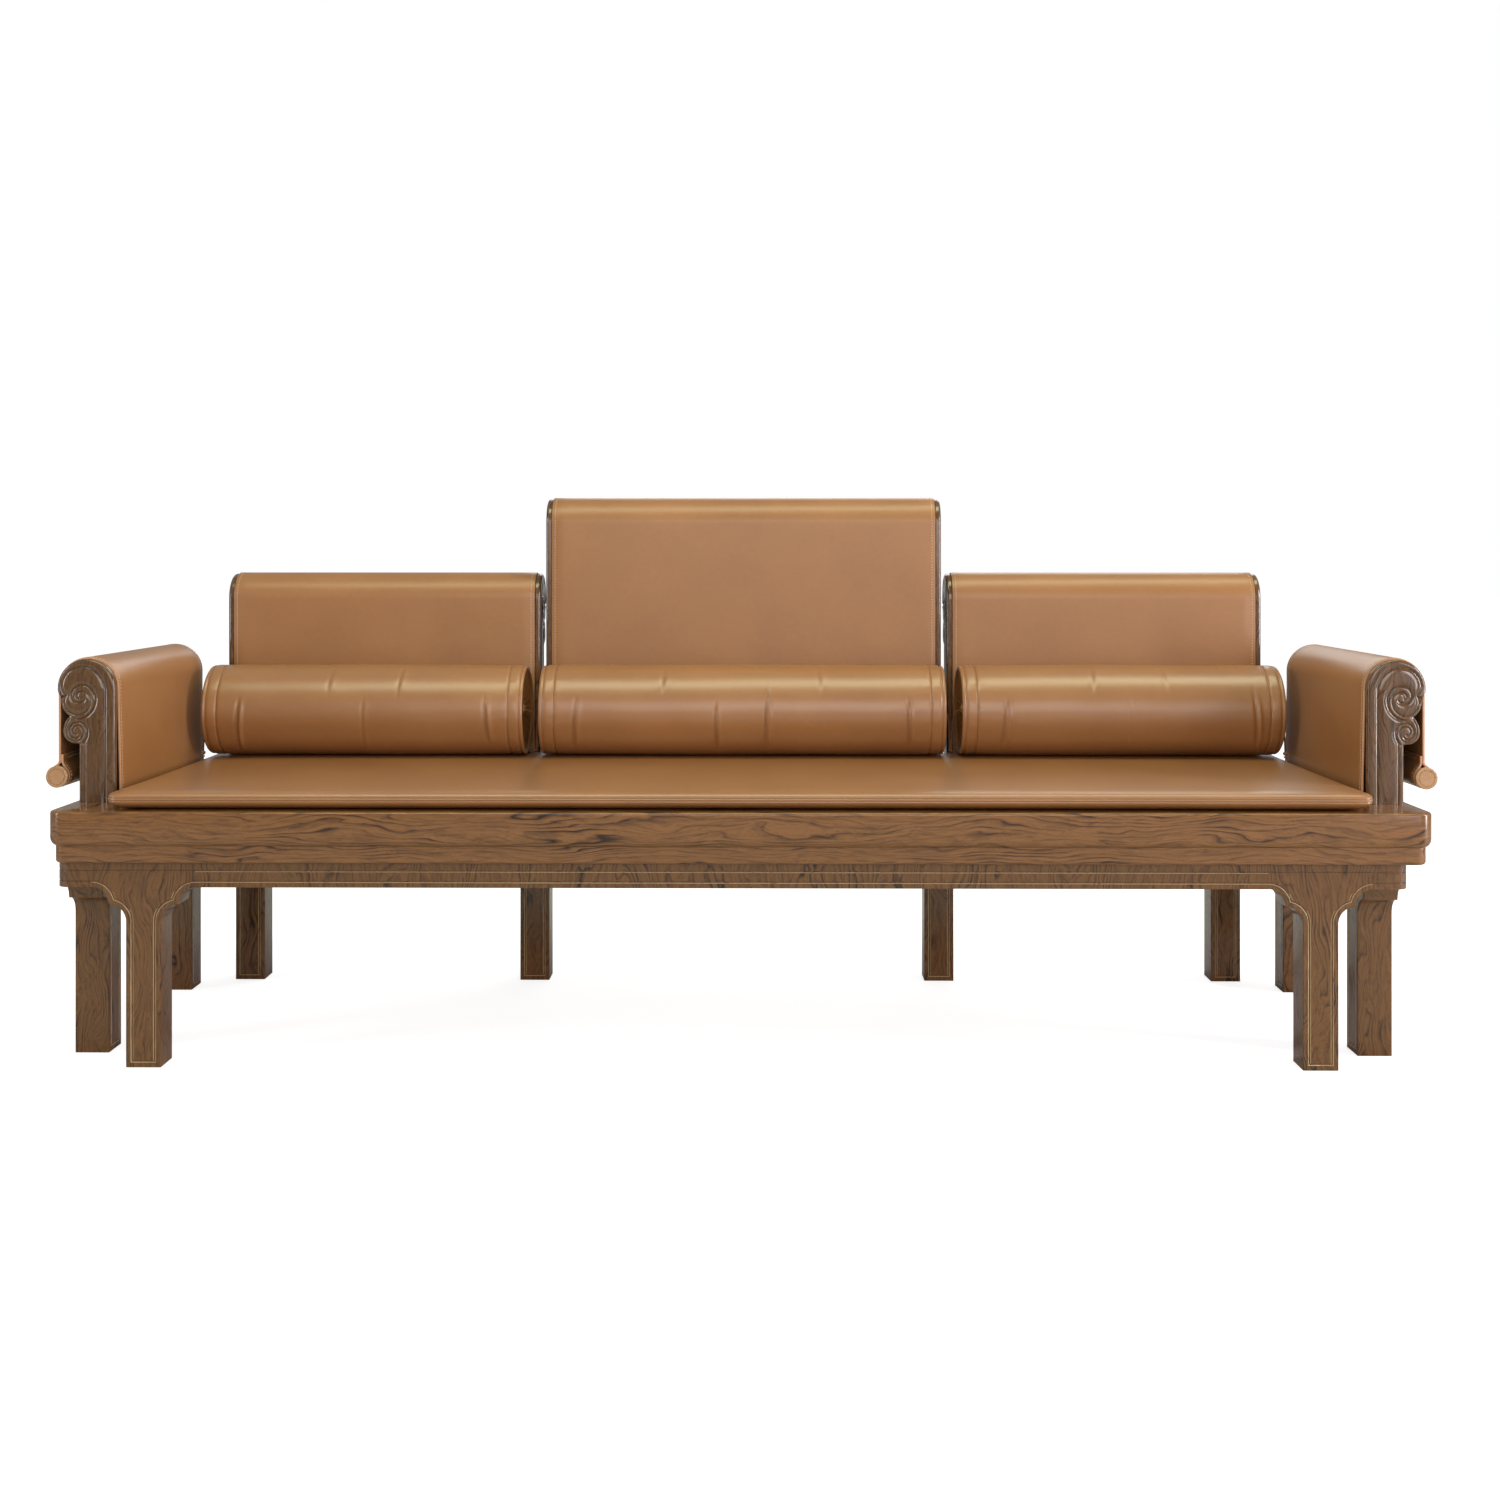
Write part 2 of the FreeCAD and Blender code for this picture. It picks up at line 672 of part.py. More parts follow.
def bracket(name, rise, length, at_end):
    body = new_body(name)
    radius = size.head_radius
    centre = rise - radius
    face = size.relief
    seam = size.board_face
    back = size.board_face + size.board_seat
    upper = (size.upper_scroll_x, centre - size.upper_scroll_drop)
    lower = (size.lower_scroll_x, centre - size.lower_scroll_drop)
    board = [
        box(0, size.post_width, 0, centre),
        (radius, centre, radius),
        upper + (size.upper_scroll_radius,),
        lower + (size.lower_scroll_radius,),
        scroll_neck(*lower),
    ]
    for shape in board:
        layer(body, shape, face, seam, length, at_end)
    under = [
        box(core_inset, size.post_width, 0, centre),
        (radius, centre, radius - core_inset),
    ]
    for shape in under:
        layer(body, shape, seam, back, length, at_end)
    band = size.post_width - size.outer_band
    upper_eye = size.upper_scroll_radius * UPPER_EYE
    lower_eye = size.lower_scroll_radius * LOWER_EYE
    carved = [
        rim_outline(rise),
        box(band, size.post_width, 0, lower[1] - size.lower_scroll_radius * POST_BAND_TOP),
        upper_volute(*upper),
        lower_volute(*lower),
        (upper[0] - upper_eye, upper[1] + size.upper_scroll_radius * UPPER_EYE_RISE, upper_eye),
        (lower[0] - size.lower_scroll_radius * LOWER_EYE_SHIFT, lower[1], lower_eye),
    ]
    for shape in carved:
        layer(body, shape, ZERO, face, length, at_end)
    low = (size.post_width - size.post_tenon_width) / 2
    tenon = box(low, low + size.post_tenon_width, -size.post_tenon_depth, 1)
    layer(body, tenon, seam, seam + size.post_tenon_thickness, length, at_end)
    return body


def core(name, rise, length):
    """The wooden core between the brackets that the leather bears on."""
    body = new_body(name)
    radius = size.head_radius
    near = size.board_face + size.board_seat
    layer(body, box(core_inset, size.post_width, 0, rise - radius), near, length - near, length, False)
    head = (radius, rise - radius, radius - core_inset)
    layer(body, head, near, length - near, length, False)
    return body


def cover(name, rise, length):
    """Leather up the inner face and over the head, as far as the fall."""
    body = new_body(name)
    radius = size.head_radius
    centre = rise - radius
    out = -size.hide_proud
    outline = [
        (out, 0),
        (core_inset, 0),
        (core_inset, centre, radius, centre, -1),
        (head_width - core_inset, centre),
        (head_width + size.hide_proud, centre, radius, centre, 1),
        (out, centre),
    ]
    layer(body, outline, size.board_face, length - size.board_face, length, False)
    return body


def fall(name, rise, length):
    """The hanging fall of the leather, hemmed round its rod with an inner ply stitched up."""
    body = new_body(name)
    near = size.board_face
    far = length - size.board_face
    outside = head_width + size.hide_proud
    join = outside - size.hide
    top = rise - size.head_radius - size.fold_gap
    layer(body, box(join, outside, size.rod_height, top), near, far, length, False)
    hem = box(join - size.hide, join, size.rod_height, size.rod_height + size.hem_rise)
    layer(body, hem, near, far, length, False)
    layer(body, (rod_x, size.rod_height, size.rod_radius + size.hide), near, far, length, False)
    bore = draw_circle(
        new_sketch(body, "XZ_Plane", -near),
        rod_x,
        size.rod_height,
        size.rod_radius,
    )
    pocket(body, bore, far - near)
    return body


def hem_rod(name, length):
    """A round rod with a turned end on each side, ringed with one plain line.
    Its axis is y, through the origin."""
    body = new_body(name)
    near = size.cap_inset
    inside = near + size.cap_thickness
    soft = size.cap_round
    line = size.cap_line
    wide = size.cap_line_width / 2
    deep = size.cap_line_depth
    outline = []
    for flip in (False, True):
        half = [
            (ZERO, near),
            (line - wide, near),
            (line, near + deep),
            (line + wide, near),
            (size.cap_radius - soft, near, size.cap_radius - soft, near + soft, 1),
            (size.cap_radius, near + soft),
            (size.cap_radius, inside),
            (size.rod_radius, inside),
        ]
        if flip:
            half = [
                (size.rod_radius, length - inside),
                (size.cap_radius, length - inside),
                (size.cap_radius, length - near - soft, size.cap_radius - soft, length - near - soft, 1),
                (size.cap_radius - soft, length - near),
                (line + wide, length - near),
                (line, length - near - deep),
                (line - wide, length - near),
                (ZERO, length - near),
            ]
        outline += half
    sketch = draw(new_sketch(body, "XY_Plane"), outline)
    turned = body.newObject("PartDesign::Revolution", "turning_%d" % sketch_count)
    turned.Profile = sketch
    turned.ReferenceAxis = (sketch, ["V_Axis"])
    turned.Angle = 360
    return body


def rest(label, names, rise, length, x, y, turn):
    """One arm or back. Names gives its start and end brackets. The unit starts at (x, y) on
    the seat and is turned about the upright there."""
    pieces = [
        bracket("%s_%s_bracket" % (label, names[0]), rise, length, False),
        bracket("%s_%s_bracket" % (label, names[1]), rise, length, True),
        core(label + "_core", rise, length),
        cover(label + "_cover", rise, length),
        fall(label + "_fall", rise, length),
    ]
    for piece in pieces:
        place(piece, x, y, size.seat_top, turn)
    rod = hem_rod(label + "_hem_rod", length)
    across = {0: (rod_x, ZERO), 90: (ZERO, rod_x), 180: (-rod_x, ZERO)}[turn]
    place(rod, x + across[0], y + across[1], size.seat_top + size.rod_height, turn)


def mattress_plan(inset):
    """Plan of the mattress, its sides drawn in between rounded corners."""
    wide = size.pad_width / 2 - inset
    deep = size.pad_depth / 2 - inset
    corner = size.pad_corner
    draw_in = size.pad_draw
    long_half = wide - corner
    short_half = deep - corner
    long_bow = (long_half * long_half + draw_in * draw_in) / (draw_in * 2)
    short_bow = (short_half * short_half + draw_in * draw_in) / (draw_in * 2)
    return [
        (-long_half, -deep, ZERO, long_bow * -1 - deep + draw_in, -1),
        (long_half, -deep, long_half, corner - deep, 1),
        (wide, -short_half, wide + short_bow - draw_in, ZERO, -1),
        (wide, short_half, long_half, short_half, 1),
        (long_half, deep, ZERO, deep + long_bow - draw_in, -1),
        (-long_half, deep, -long_half, short_half, 1),
        (-wide, short_half, draw_in - wide - short_bow, ZERO, -1),
        (-wide, -short_half, -long_half, -short_half, 1),
    ]


def seat_pad():
    """The thin mattress: a loft through plans that swell to the piped edge and crown."""
    body = new_body("seat_pad")
    sketches = []
    for level, inset in PAD_SIDE + [(size.pad_height, size.pad_crown)]:
        sketch = new_sketch(body, "XY_Plane", as_dim(level))
        sketches.append(draw(sketch, mattress_plan(as_dim(inset))))
    loft = body.newObject("PartDesign::AdditiveLoft", "mattress")
    loft.Profile = sketches[0]
    loft.Sections = sketches[1:]
    loft.Ruled = True
    place(body, 0, front_y + size.pad_front + size.pad_depth / 2, size.seat_top)


def bolster(name, centre_x, half):
    """A round bolster turned about its length: piped rims, sewn seams and gathered ends."""
    body = new_body(name)
    pipe = size.piping_radius
    rim = size.bolster_radius - pipe * 1.5
    skin = size.bolster_radius - size.skin_drop
    seam = size.seam_place
    seam_half = size.seam_width / 2
    knot_face = size.dish_depth / 2
    knot_ball = (size.knot_radius * size.knot_radius + knot_face * knot_face) / (knot_face * 2)
    ends = []
    for side in (-1, 1):
        def at(depth, side=side):
            return (half - depth) * side

        half_outline = [
            (at(knot_face), ZERO, at(knot_face + knot_ball), ZERO, side),
            (at(size.dish_depth), size.knot_radius),
            (at(pipe), rim - pipe, at(pipe), rim, side),
            (at(pipe), rim + pipe),
            (at(pipe * 1.5), skin - size.seam_depth),
            (at(seam - seam_half), skin),
            (at(seam), skin - size.seam_depth),
            (at(seam + seam_half), skin),
        ]
        ends.append(half_outline)
    left, right = ends
    # The right end is walked the other way, so each arc there leaves from its far corner.
    right = [
        right[7],
        right[6],
        right[5],
        right[4],
        (right[3][0], right[3][1], right[2][2], right[2][3], -1),
        (right[2][0], right[2][1]),
        (right[1][0], right[1][1], right[0][2], right[0][3], -1),
        (right[0][0], right[0][1]),
    ]
    long_half = half - seam - seam_half
    bow = (long_half * long_half + size.skin_drop * size.skin_drop) / (size.skin_drop * 2)
    left[7] = (left[7][0], left[7][1], ZERO, size.bolster_radius - bow, -1)
    sketch = draw(new_sketch(body, "XY_Plane"), left + right)
    turned = body.newObject("PartDesign::Revolution", "turning_%d" % sketch_count)
    turned.Profile = sketch
    turned.ReferenceAxis = (sketch, ["H_Axis"])
    turned.Angle = 360
    place(body, centre_x, bolster_y, bolster_z)


def rounded_path(points, radii):
    """Straight runs joined by tangent arcs at the inner points."""
    edges = []
    here = points[0]
    for i in range(1, len(points) - 1):
        before, at, after = points[i - 1], points[i], points[i + 1]
        towards = (before - at).normalize()
        onward = (after - at).normalize()
        shorter = min((before - at).Length, (after - at).Length)
        turn = math.pi - towards.getAngle(onward)
        radius = 0.45 * shorter / math.tan(turn / 2)
        radii.append(radius)
        cut = 0.45 * shorter
        first = at + towards * cut
        last = at + onward * cut
        bisector = (towards + onward).normalize()
        middle = at + bisector * (radius / math.cos(turn / 2) - radius)
        edges.append(Part.LineSegment(here, first).toShape())
        edges.append(Part.Arc(first, middle, last).toShape())
        here = last
    edges.append(Part.LineSegment(here, points[-1]).toShape())
    return Part.Wire(edges)


def tie_cords(name, centre_x, half, ends):
    """The tie cords of one bolster with what hangs on them, one from each end."""
    radius = size.tie_radius.value
    solids = []
    for side, outer, sideways in ends:
        face = centre_x.value + side * half.value
        route = []
        for out, back, up in OUTER_TIE if outer else INNER_TIE:
            route.append(Vector(face + side * out, bolster_y.value + sideways + back, bolster_z.value + up))
        radii = []
        path = rounded_path(route, radii)
        start = Part.Wire([Part.Circle(route[0], route[1] - route[0], radius).toShape()])
        tube = Part.Wire(path).makePipeShell([start], True, False)
        share = tube.Volume / (math.pi * radius * radius * path.Length)
        print("%s: length %.1f, radii %s, volume share %.3f" % (
            name, path.Length, ["%.1f" % r for r in radii], share))
        tip = route[-1]
        ring = size.ring_radius.value
        if outer:
            bead = size.bead_radius.value
            hanging = [Part.makeSphere(bead, tip - Vector(0, 0, bead * BEAD_HANG))]
            below = bead * (1 + BEAD_HANG) + ring * RING_HANG
            hanging.append(Part.makeSphere(ring, tip - Vector(0, 0, below)))
        else:
            hanging = [Part.makeSphere(ring, tip)]
        solids.append(tube.fuse(hanging))
    feature = doc.addObject("Part::Feature", name)
    feature.Label = name
    feature.Shape = Part.makeCompound(solids)
    subparts.append(feature)


def seat_frame():
    """Four mitred rails, the board and its battens."""
    depth = size.apron_inset + size.leg_size - size.leg_tenon_back - size.leg_tenon_thickness
    shift = -size.base_shift
    corner, middle = size.corner_leg_place, size.middle_leg_place
    spacing = size.batten_spacing
    side_length = size.seat_depth - size.apron_inset * 2
    side_leg = side_length / 2 - size.side_leg_place
    near = size.board_face
    far = near + size.post_tenon_thickness
    arm_low = size.arm_front - size.seat_depth / 2
    arm_high = arm_low + size.arm_length
    arm_posts = [(arm_low + near, arm_low + far), (arm_high - far, arm_high - near)]
    back_posts = []
    half_centre = size.centre_back_width / 2
    inner_side = half_centre + size.back_gap
    for low, high in (
        (-half_centre, half_centre),
        (inner_side, inner_side + size.side_back_width),
        (-inner_side - size.side_back_width, -inner_side),
    ):
        back_posts += [(low + near, low + far), (high - far, high - near)]
    seat_rail("seat_rail_front", size.seat_width, 0, front_y, 0,
              [shift - corner, shift + corner], depth, [-spacing, ZERO, spacing], [])
    seat_rail("seat_rail_back", size.seat_width, 0, rear_y, 180,
              [-shift - corner, -shift - middle, -shift + middle, -shift + corner], depth,
              [-spacing, ZERO, spacing], back_posts)
    seat_rail("seat_rail_right", size.seat_depth, size.seat_width / 2, middle_y, 90,
              [-side_leg, side_leg], depth + size.base_shift, [], arm_posts)
    seat_rail("seat_rail_left", size.seat_depth, size.seat_width / -2, middle_y, -90,
              [-side_leg, side_leg], depth - size.base_shift, [],
              [(-high, -low) for low, high in arm_posts])
    ledge = size.rail_width - size.rebate_width
    board = new_body("seat_board")
    half_x = size.seat_width / 2 - ledge
    half_y = size.seat_depth / 2 - ledge
    plan = draw(new_sketch(board, "XY_Plane"), box(-half_x, half_x, -half_y, half_y))
    pad(board, plan, size.board_thickness, reverse=True)
    place(board, 0, middle_y, size.seat_top)
    for name, x in (("left", -spacing), ("centre", ZERO), ("right", spacing)):
        batten = new_body("batten_" + name)
        half = size.batten_width / 2
        plan = draw(new_sketch(batten, "XY_Plane"), box(-half, half, -half_y, half_y))
        pad(batten, plan, size.batten_height, reverse=True)
        place(batten, x, middle_y, size.seat_top - size.board_thickness)


def base():
    """The apron frame and its ten legs, which stand a little left of the seat's middle."""
    shift = -size.base_shift
    corner, middle = size.corner_leg_place, size.middle_leg_place
    face_front = front_y + size.apron_inset
    face_back = rear_y - size.apron_inset
    side_face = size.seat_width / 2 - size.apron_inset
    side_leg = size.seat_depth / 2 - size.apron_inset - size.side_leg_place
    apron("apron_front", size.seat_width, shift, front_y, 0, [-corner, corner], [-1, 1],
          [-corner, corner])
    apron("apron_back", size.seat_width, shift, rear_y, 180, [-corner, -middle, middle, corner],
          [-1, 1], [-corner, -middle, middle, corner])
    apron("apron_right", size.seat_depth, shift + size.seat_width / 2, middle_y, 90,
          [-side_leg, side_leg], [], [-side_leg, side_leg])
    apron("apron_left", size.seat_depth, shift - size.seat_width / 2, middle_y, -90,
          [-side_leg, side_leg], [], [-side_leg, side_leg])
    leg("leg_front_left", shift - corner, face_front, 0)
    leg("leg_front_right", shift + corner, face_front, 0)
    leg("leg_back_left", shift - corner, face_back, 180)
    leg("leg_back_middle_left", shift - middle, face_back, 180)
    leg("leg_back_middle_right", shift + middle, face_back, 180)
    leg("leg_back_right", shift + corner, face_back, 180)
    leg("leg_side_front_left", shift - side_face, middle_y - side_leg, -90)
    leg("leg_side_rear_left", shift - side_face, middle_y + side_leg, -90)
    leg("leg_side_front_right", shift + side_face, middle_y - side_leg, 90)
    leg("leg_side_rear_right", shift + side_face, middle_y + side_leg, 90)


def upper_works():
    """Two arms and three backs standing on the seat frame."""
    inner = size.seat_width / 2 - post_inset
    arm_y = front_y + size.arm_front
    rest("right_arm", ("front", "rear"), size.arm_rise, size.arm_length, inner, arm_y, 0)
    rest("left_arm", ("rear", "front"), size.arm_rise, size.arm_length,
         -inner, arm_y + size.arm_length, 180)
    y = front_y + back_front
    half_centre = size.centre_back_width / 2
    side_right = half_centre + size.back_gap + size.side_back_width
    rest("centre_back", ("right", "left"), size.centre_back_rise, size.centre_back_width,
         half_centre, y, 90)
    rest("right_back", ("right", "left"), size.side_back_rise, size.side_back_width,
         side_right, y, 90)
    rest("left_back", ("right", "left"), size.side_back_rise, size.side_back_width,
         -half_centre - size.back_gap, y, 90)


def soft_pieces():
    """The mattress, the three bolsters and their tie cords."""
    seat_pad()
    side_half = (size.bolster_end - size.bolster_near) / 2
    side_centre = (size.bolster_end + size.bolster_near) / 2
    bolster("bolster_left", -side_centre, side_half)
    bolster("bolster_centre", ZERO, size.bolster_half)
    bolster("bolster_right", side_centre, side_half)
    apart = TIES_APART
    tie_cords("bolster_left_ties", -side_centre, side_half, [(-1, True, 0), (1, False, -apart)])
    tie_cords("bolster_centre_ties", ZERO, size.bolster_half,
              [(-1, False, apart), (1, False, apart)])
    tie_cords("bolster_right_ties", side_centre, side_half, [(1, True, 0), (-1, False, -apart)])


seat_frame()
base()
upper_works()
soft_pieces()
doc.recompute()

for item in doc.Objects:
    if "Invalid" in item.State or "Error" in item.State:
        raise RuntimeError("%s: %s" % (item.Name, item.State))
for subpart in subparts:
    if subpart.Shape.isNull() or not subpart.Shape.isValid():
        raise RuntimeError("%s has no valid shape" % subpart.Label)

os.makedirs("parts", exist_ok=True)
for subpart in subparts:
    subpart.Shape.exportStep("parts/%s.step" % subpart.Label)
print("%d nodes" % len(subparts))
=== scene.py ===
import math
import random

import bmesh
import bpy
from mathutils import Matrix, Vector
from mathutils.kdtree import KDTree


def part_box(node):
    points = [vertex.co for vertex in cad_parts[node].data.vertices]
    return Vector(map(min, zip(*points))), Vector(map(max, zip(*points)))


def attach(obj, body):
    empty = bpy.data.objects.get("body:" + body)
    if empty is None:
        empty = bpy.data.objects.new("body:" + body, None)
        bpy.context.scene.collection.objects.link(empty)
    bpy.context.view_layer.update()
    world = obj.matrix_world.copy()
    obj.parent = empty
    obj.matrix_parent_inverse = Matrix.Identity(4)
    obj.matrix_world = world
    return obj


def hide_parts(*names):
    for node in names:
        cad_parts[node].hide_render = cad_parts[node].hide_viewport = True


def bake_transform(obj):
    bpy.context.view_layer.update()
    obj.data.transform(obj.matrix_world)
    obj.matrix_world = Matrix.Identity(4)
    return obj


# A three-seat wooden settee: walnut frame, saddle leather slung over arms and backs,
# a thin mattress and three bolsters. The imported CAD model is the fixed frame.

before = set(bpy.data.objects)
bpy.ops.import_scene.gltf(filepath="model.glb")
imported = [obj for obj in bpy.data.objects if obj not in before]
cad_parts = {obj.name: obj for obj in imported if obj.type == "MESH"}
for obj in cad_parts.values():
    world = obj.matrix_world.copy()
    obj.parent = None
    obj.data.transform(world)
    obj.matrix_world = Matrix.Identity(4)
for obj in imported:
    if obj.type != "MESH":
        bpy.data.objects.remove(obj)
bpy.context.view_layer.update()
mm = 0.001
print("frame loaded:", len(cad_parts), "nodes")


def clearSelection():
    if bpy.context.mode != "OBJECT":
        bpy.ops.object.mode_set(mode="OBJECT")
    bpy.ops.object.select_all(action="DESELECT")


def workOn(piece):
    clearSelection()
    piece.select_set(True)
    bpy.context.view_layer.objects.active = piece


def openMesh(piece):
    # edit mode, with all of it selected
    workOn(piece)
    bpy.ops.object.mode_set(mode="EDIT")
    bpy.ops.mesh.select_all(action="SELECT")


def closeMesh():
    bpy.ops.object.mode_set(mode="OBJECT")


def belong(piece, body, slot, *nodes):
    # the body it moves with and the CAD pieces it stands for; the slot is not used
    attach(piece, body)
    if nodes:
        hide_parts(*nodes)


def applyModifiers(piece):
    workOn(piece)
    for modifier in list(piece.modifiers):
        bpy.ops.object.modifier_apply(modifier=modifier.name)


def settle(piece, name, material, place=None):
    # puts the piece's place into its mesh and leaves the object at the origin
    piece.name = name
    piece.data.name = name
    workOn(piece)
    bpy.ops.object.transform_apply(location=True, rotation=True, scale=True)
    if place is not None:
        piece.data.transform(place)
        if place.determinant() < 0:
            piece.data.flip_normals()
    piece.data.materials.clear()
    for one in material if isinstance(material, list) else [material]:
        piece.data.materials.append(one)
    for face in piece.data.polygons:
        face.use_smooth = True
    return piece


def nodeCopy(node, name):
    # a CAD node's mesh merged into one skin, without the normals that the import stored on it
    piece = bpy.data.objects.new(name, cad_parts[node].data.copy())
    bpy.context.scene.collection.objects.link(piece)
    workOn(piece)
    bpy.ops.mesh.customdata_custom_splitnormals_clear()
    for layer in ("sharp_edge", "sharp_face"):
        if layer in piece.data.attributes:
            piece.data.attributes.remove(piece.data.attributes[layer])
    openMesh(piece)
    bpy.ops.mesh.remove_doubles(threshold=0.01 * mm)
    closeMesh()
    return piece


def meshPiece(name, points, faces, edges=()):
    mesh = bpy.data.meshes.new(name)
    mesh.from_pydata(points, list(edges), faces)
    mesh.update()
    piece = bpy.data.objects.new(name, mesh)
    bpy.context.scene.collection.objects.link(piece)
    return piece


# camera
camera = {"place": (0.0470, -3.2197, 0.8222), "turn": 0.564, "lens": 43.33, "shiftY": -0.1317}
eye = bpy.data.objects.new("camera", bpy.data.cameras.new("camera"))
bpy.context.scene.collection.objects.link(eye)
eye.location = camera["place"]
eye.rotation_euler = (math.radians(90), 0, math.radians(camera["turn"]))
eye.data.lens = camera["lens"]
eye.data.sensor_width = 36
eye.data.shift_y = camera["shiftY"]
eye.data.clip_end = 100
bpy.context.scene.camera = eye
bpy.context.scene.view_settings.view_transform = "Standard"


# materials


def colour(code):
    # sRGB hex to linear
    parts = [int(code[i:i + 2], 16) / 255 for i in (0, 2, 4)]
    return [c / 12.92 if c <= 0.04045 else ((c + 0.055) / 1.055) ** 2.4 for c in parts] + [1]


def newMaterial(name):
    material = bpy.data.materials.new(name)
    material.use_nodes = True
    tree = material.node_tree
    tree.nodes.clear()
    return material, tree


def addNode(tree, kind, inputs=None, **settings):
    node = tree.nodes.new("ShaderNode" + kind)
    for key, value in settings.items():
        setattr(node, key, value)
    for key, value in (inputs or {}).items():
        if isinstance(value, bpy.types.NodeSocket):
            tree.links.new(value, node.inputs[key])
        else:
            node.inputs[key].default_value = value
    return node


def addRamp(tree, factor, stops):
    node = addNode(tree, "ValToRGB", {"Fac": factor})
    ramp = node.color_ramp
    while len(ramp.elements) < len(stops):
        ramp.elements.new(0.5)
    for element, (place, shade) in zip(ramp.elements, stops):
        element.position = place
        element.color = shade
    return node


def finishMaterial(tree, base, roughness, bump, **fixed):
    shader = addNode(tree, "BsdfPrincipled", {"Base Color": base, "Roughness": roughness,
                                              "Normal": bump})
    for key, value in fixed.items():
        shader.inputs[key.replace("_", " ")].default_value = value
    addNode(tree, "OutputMaterial", {"Surface": shader.outputs["BSDF"]})


def grey(value):
    return (value, value, value, 1)


woodFigure = {
    "heart": (0.31, 0.045, 0.038),  # from the middle of the object to the tree's, in metres
    "closeWaves": (15, 48, 48),  # short waves of the grain to the metre
    "closeBend": 0.013,
    "swell": 9,  # how many ring widths the rings wander
    "lateLines": -0.85,  # how far the latewood darkens the wood
    "level": 0.38,
    "fibres": 0.74,
    "patches": 0.3,
}


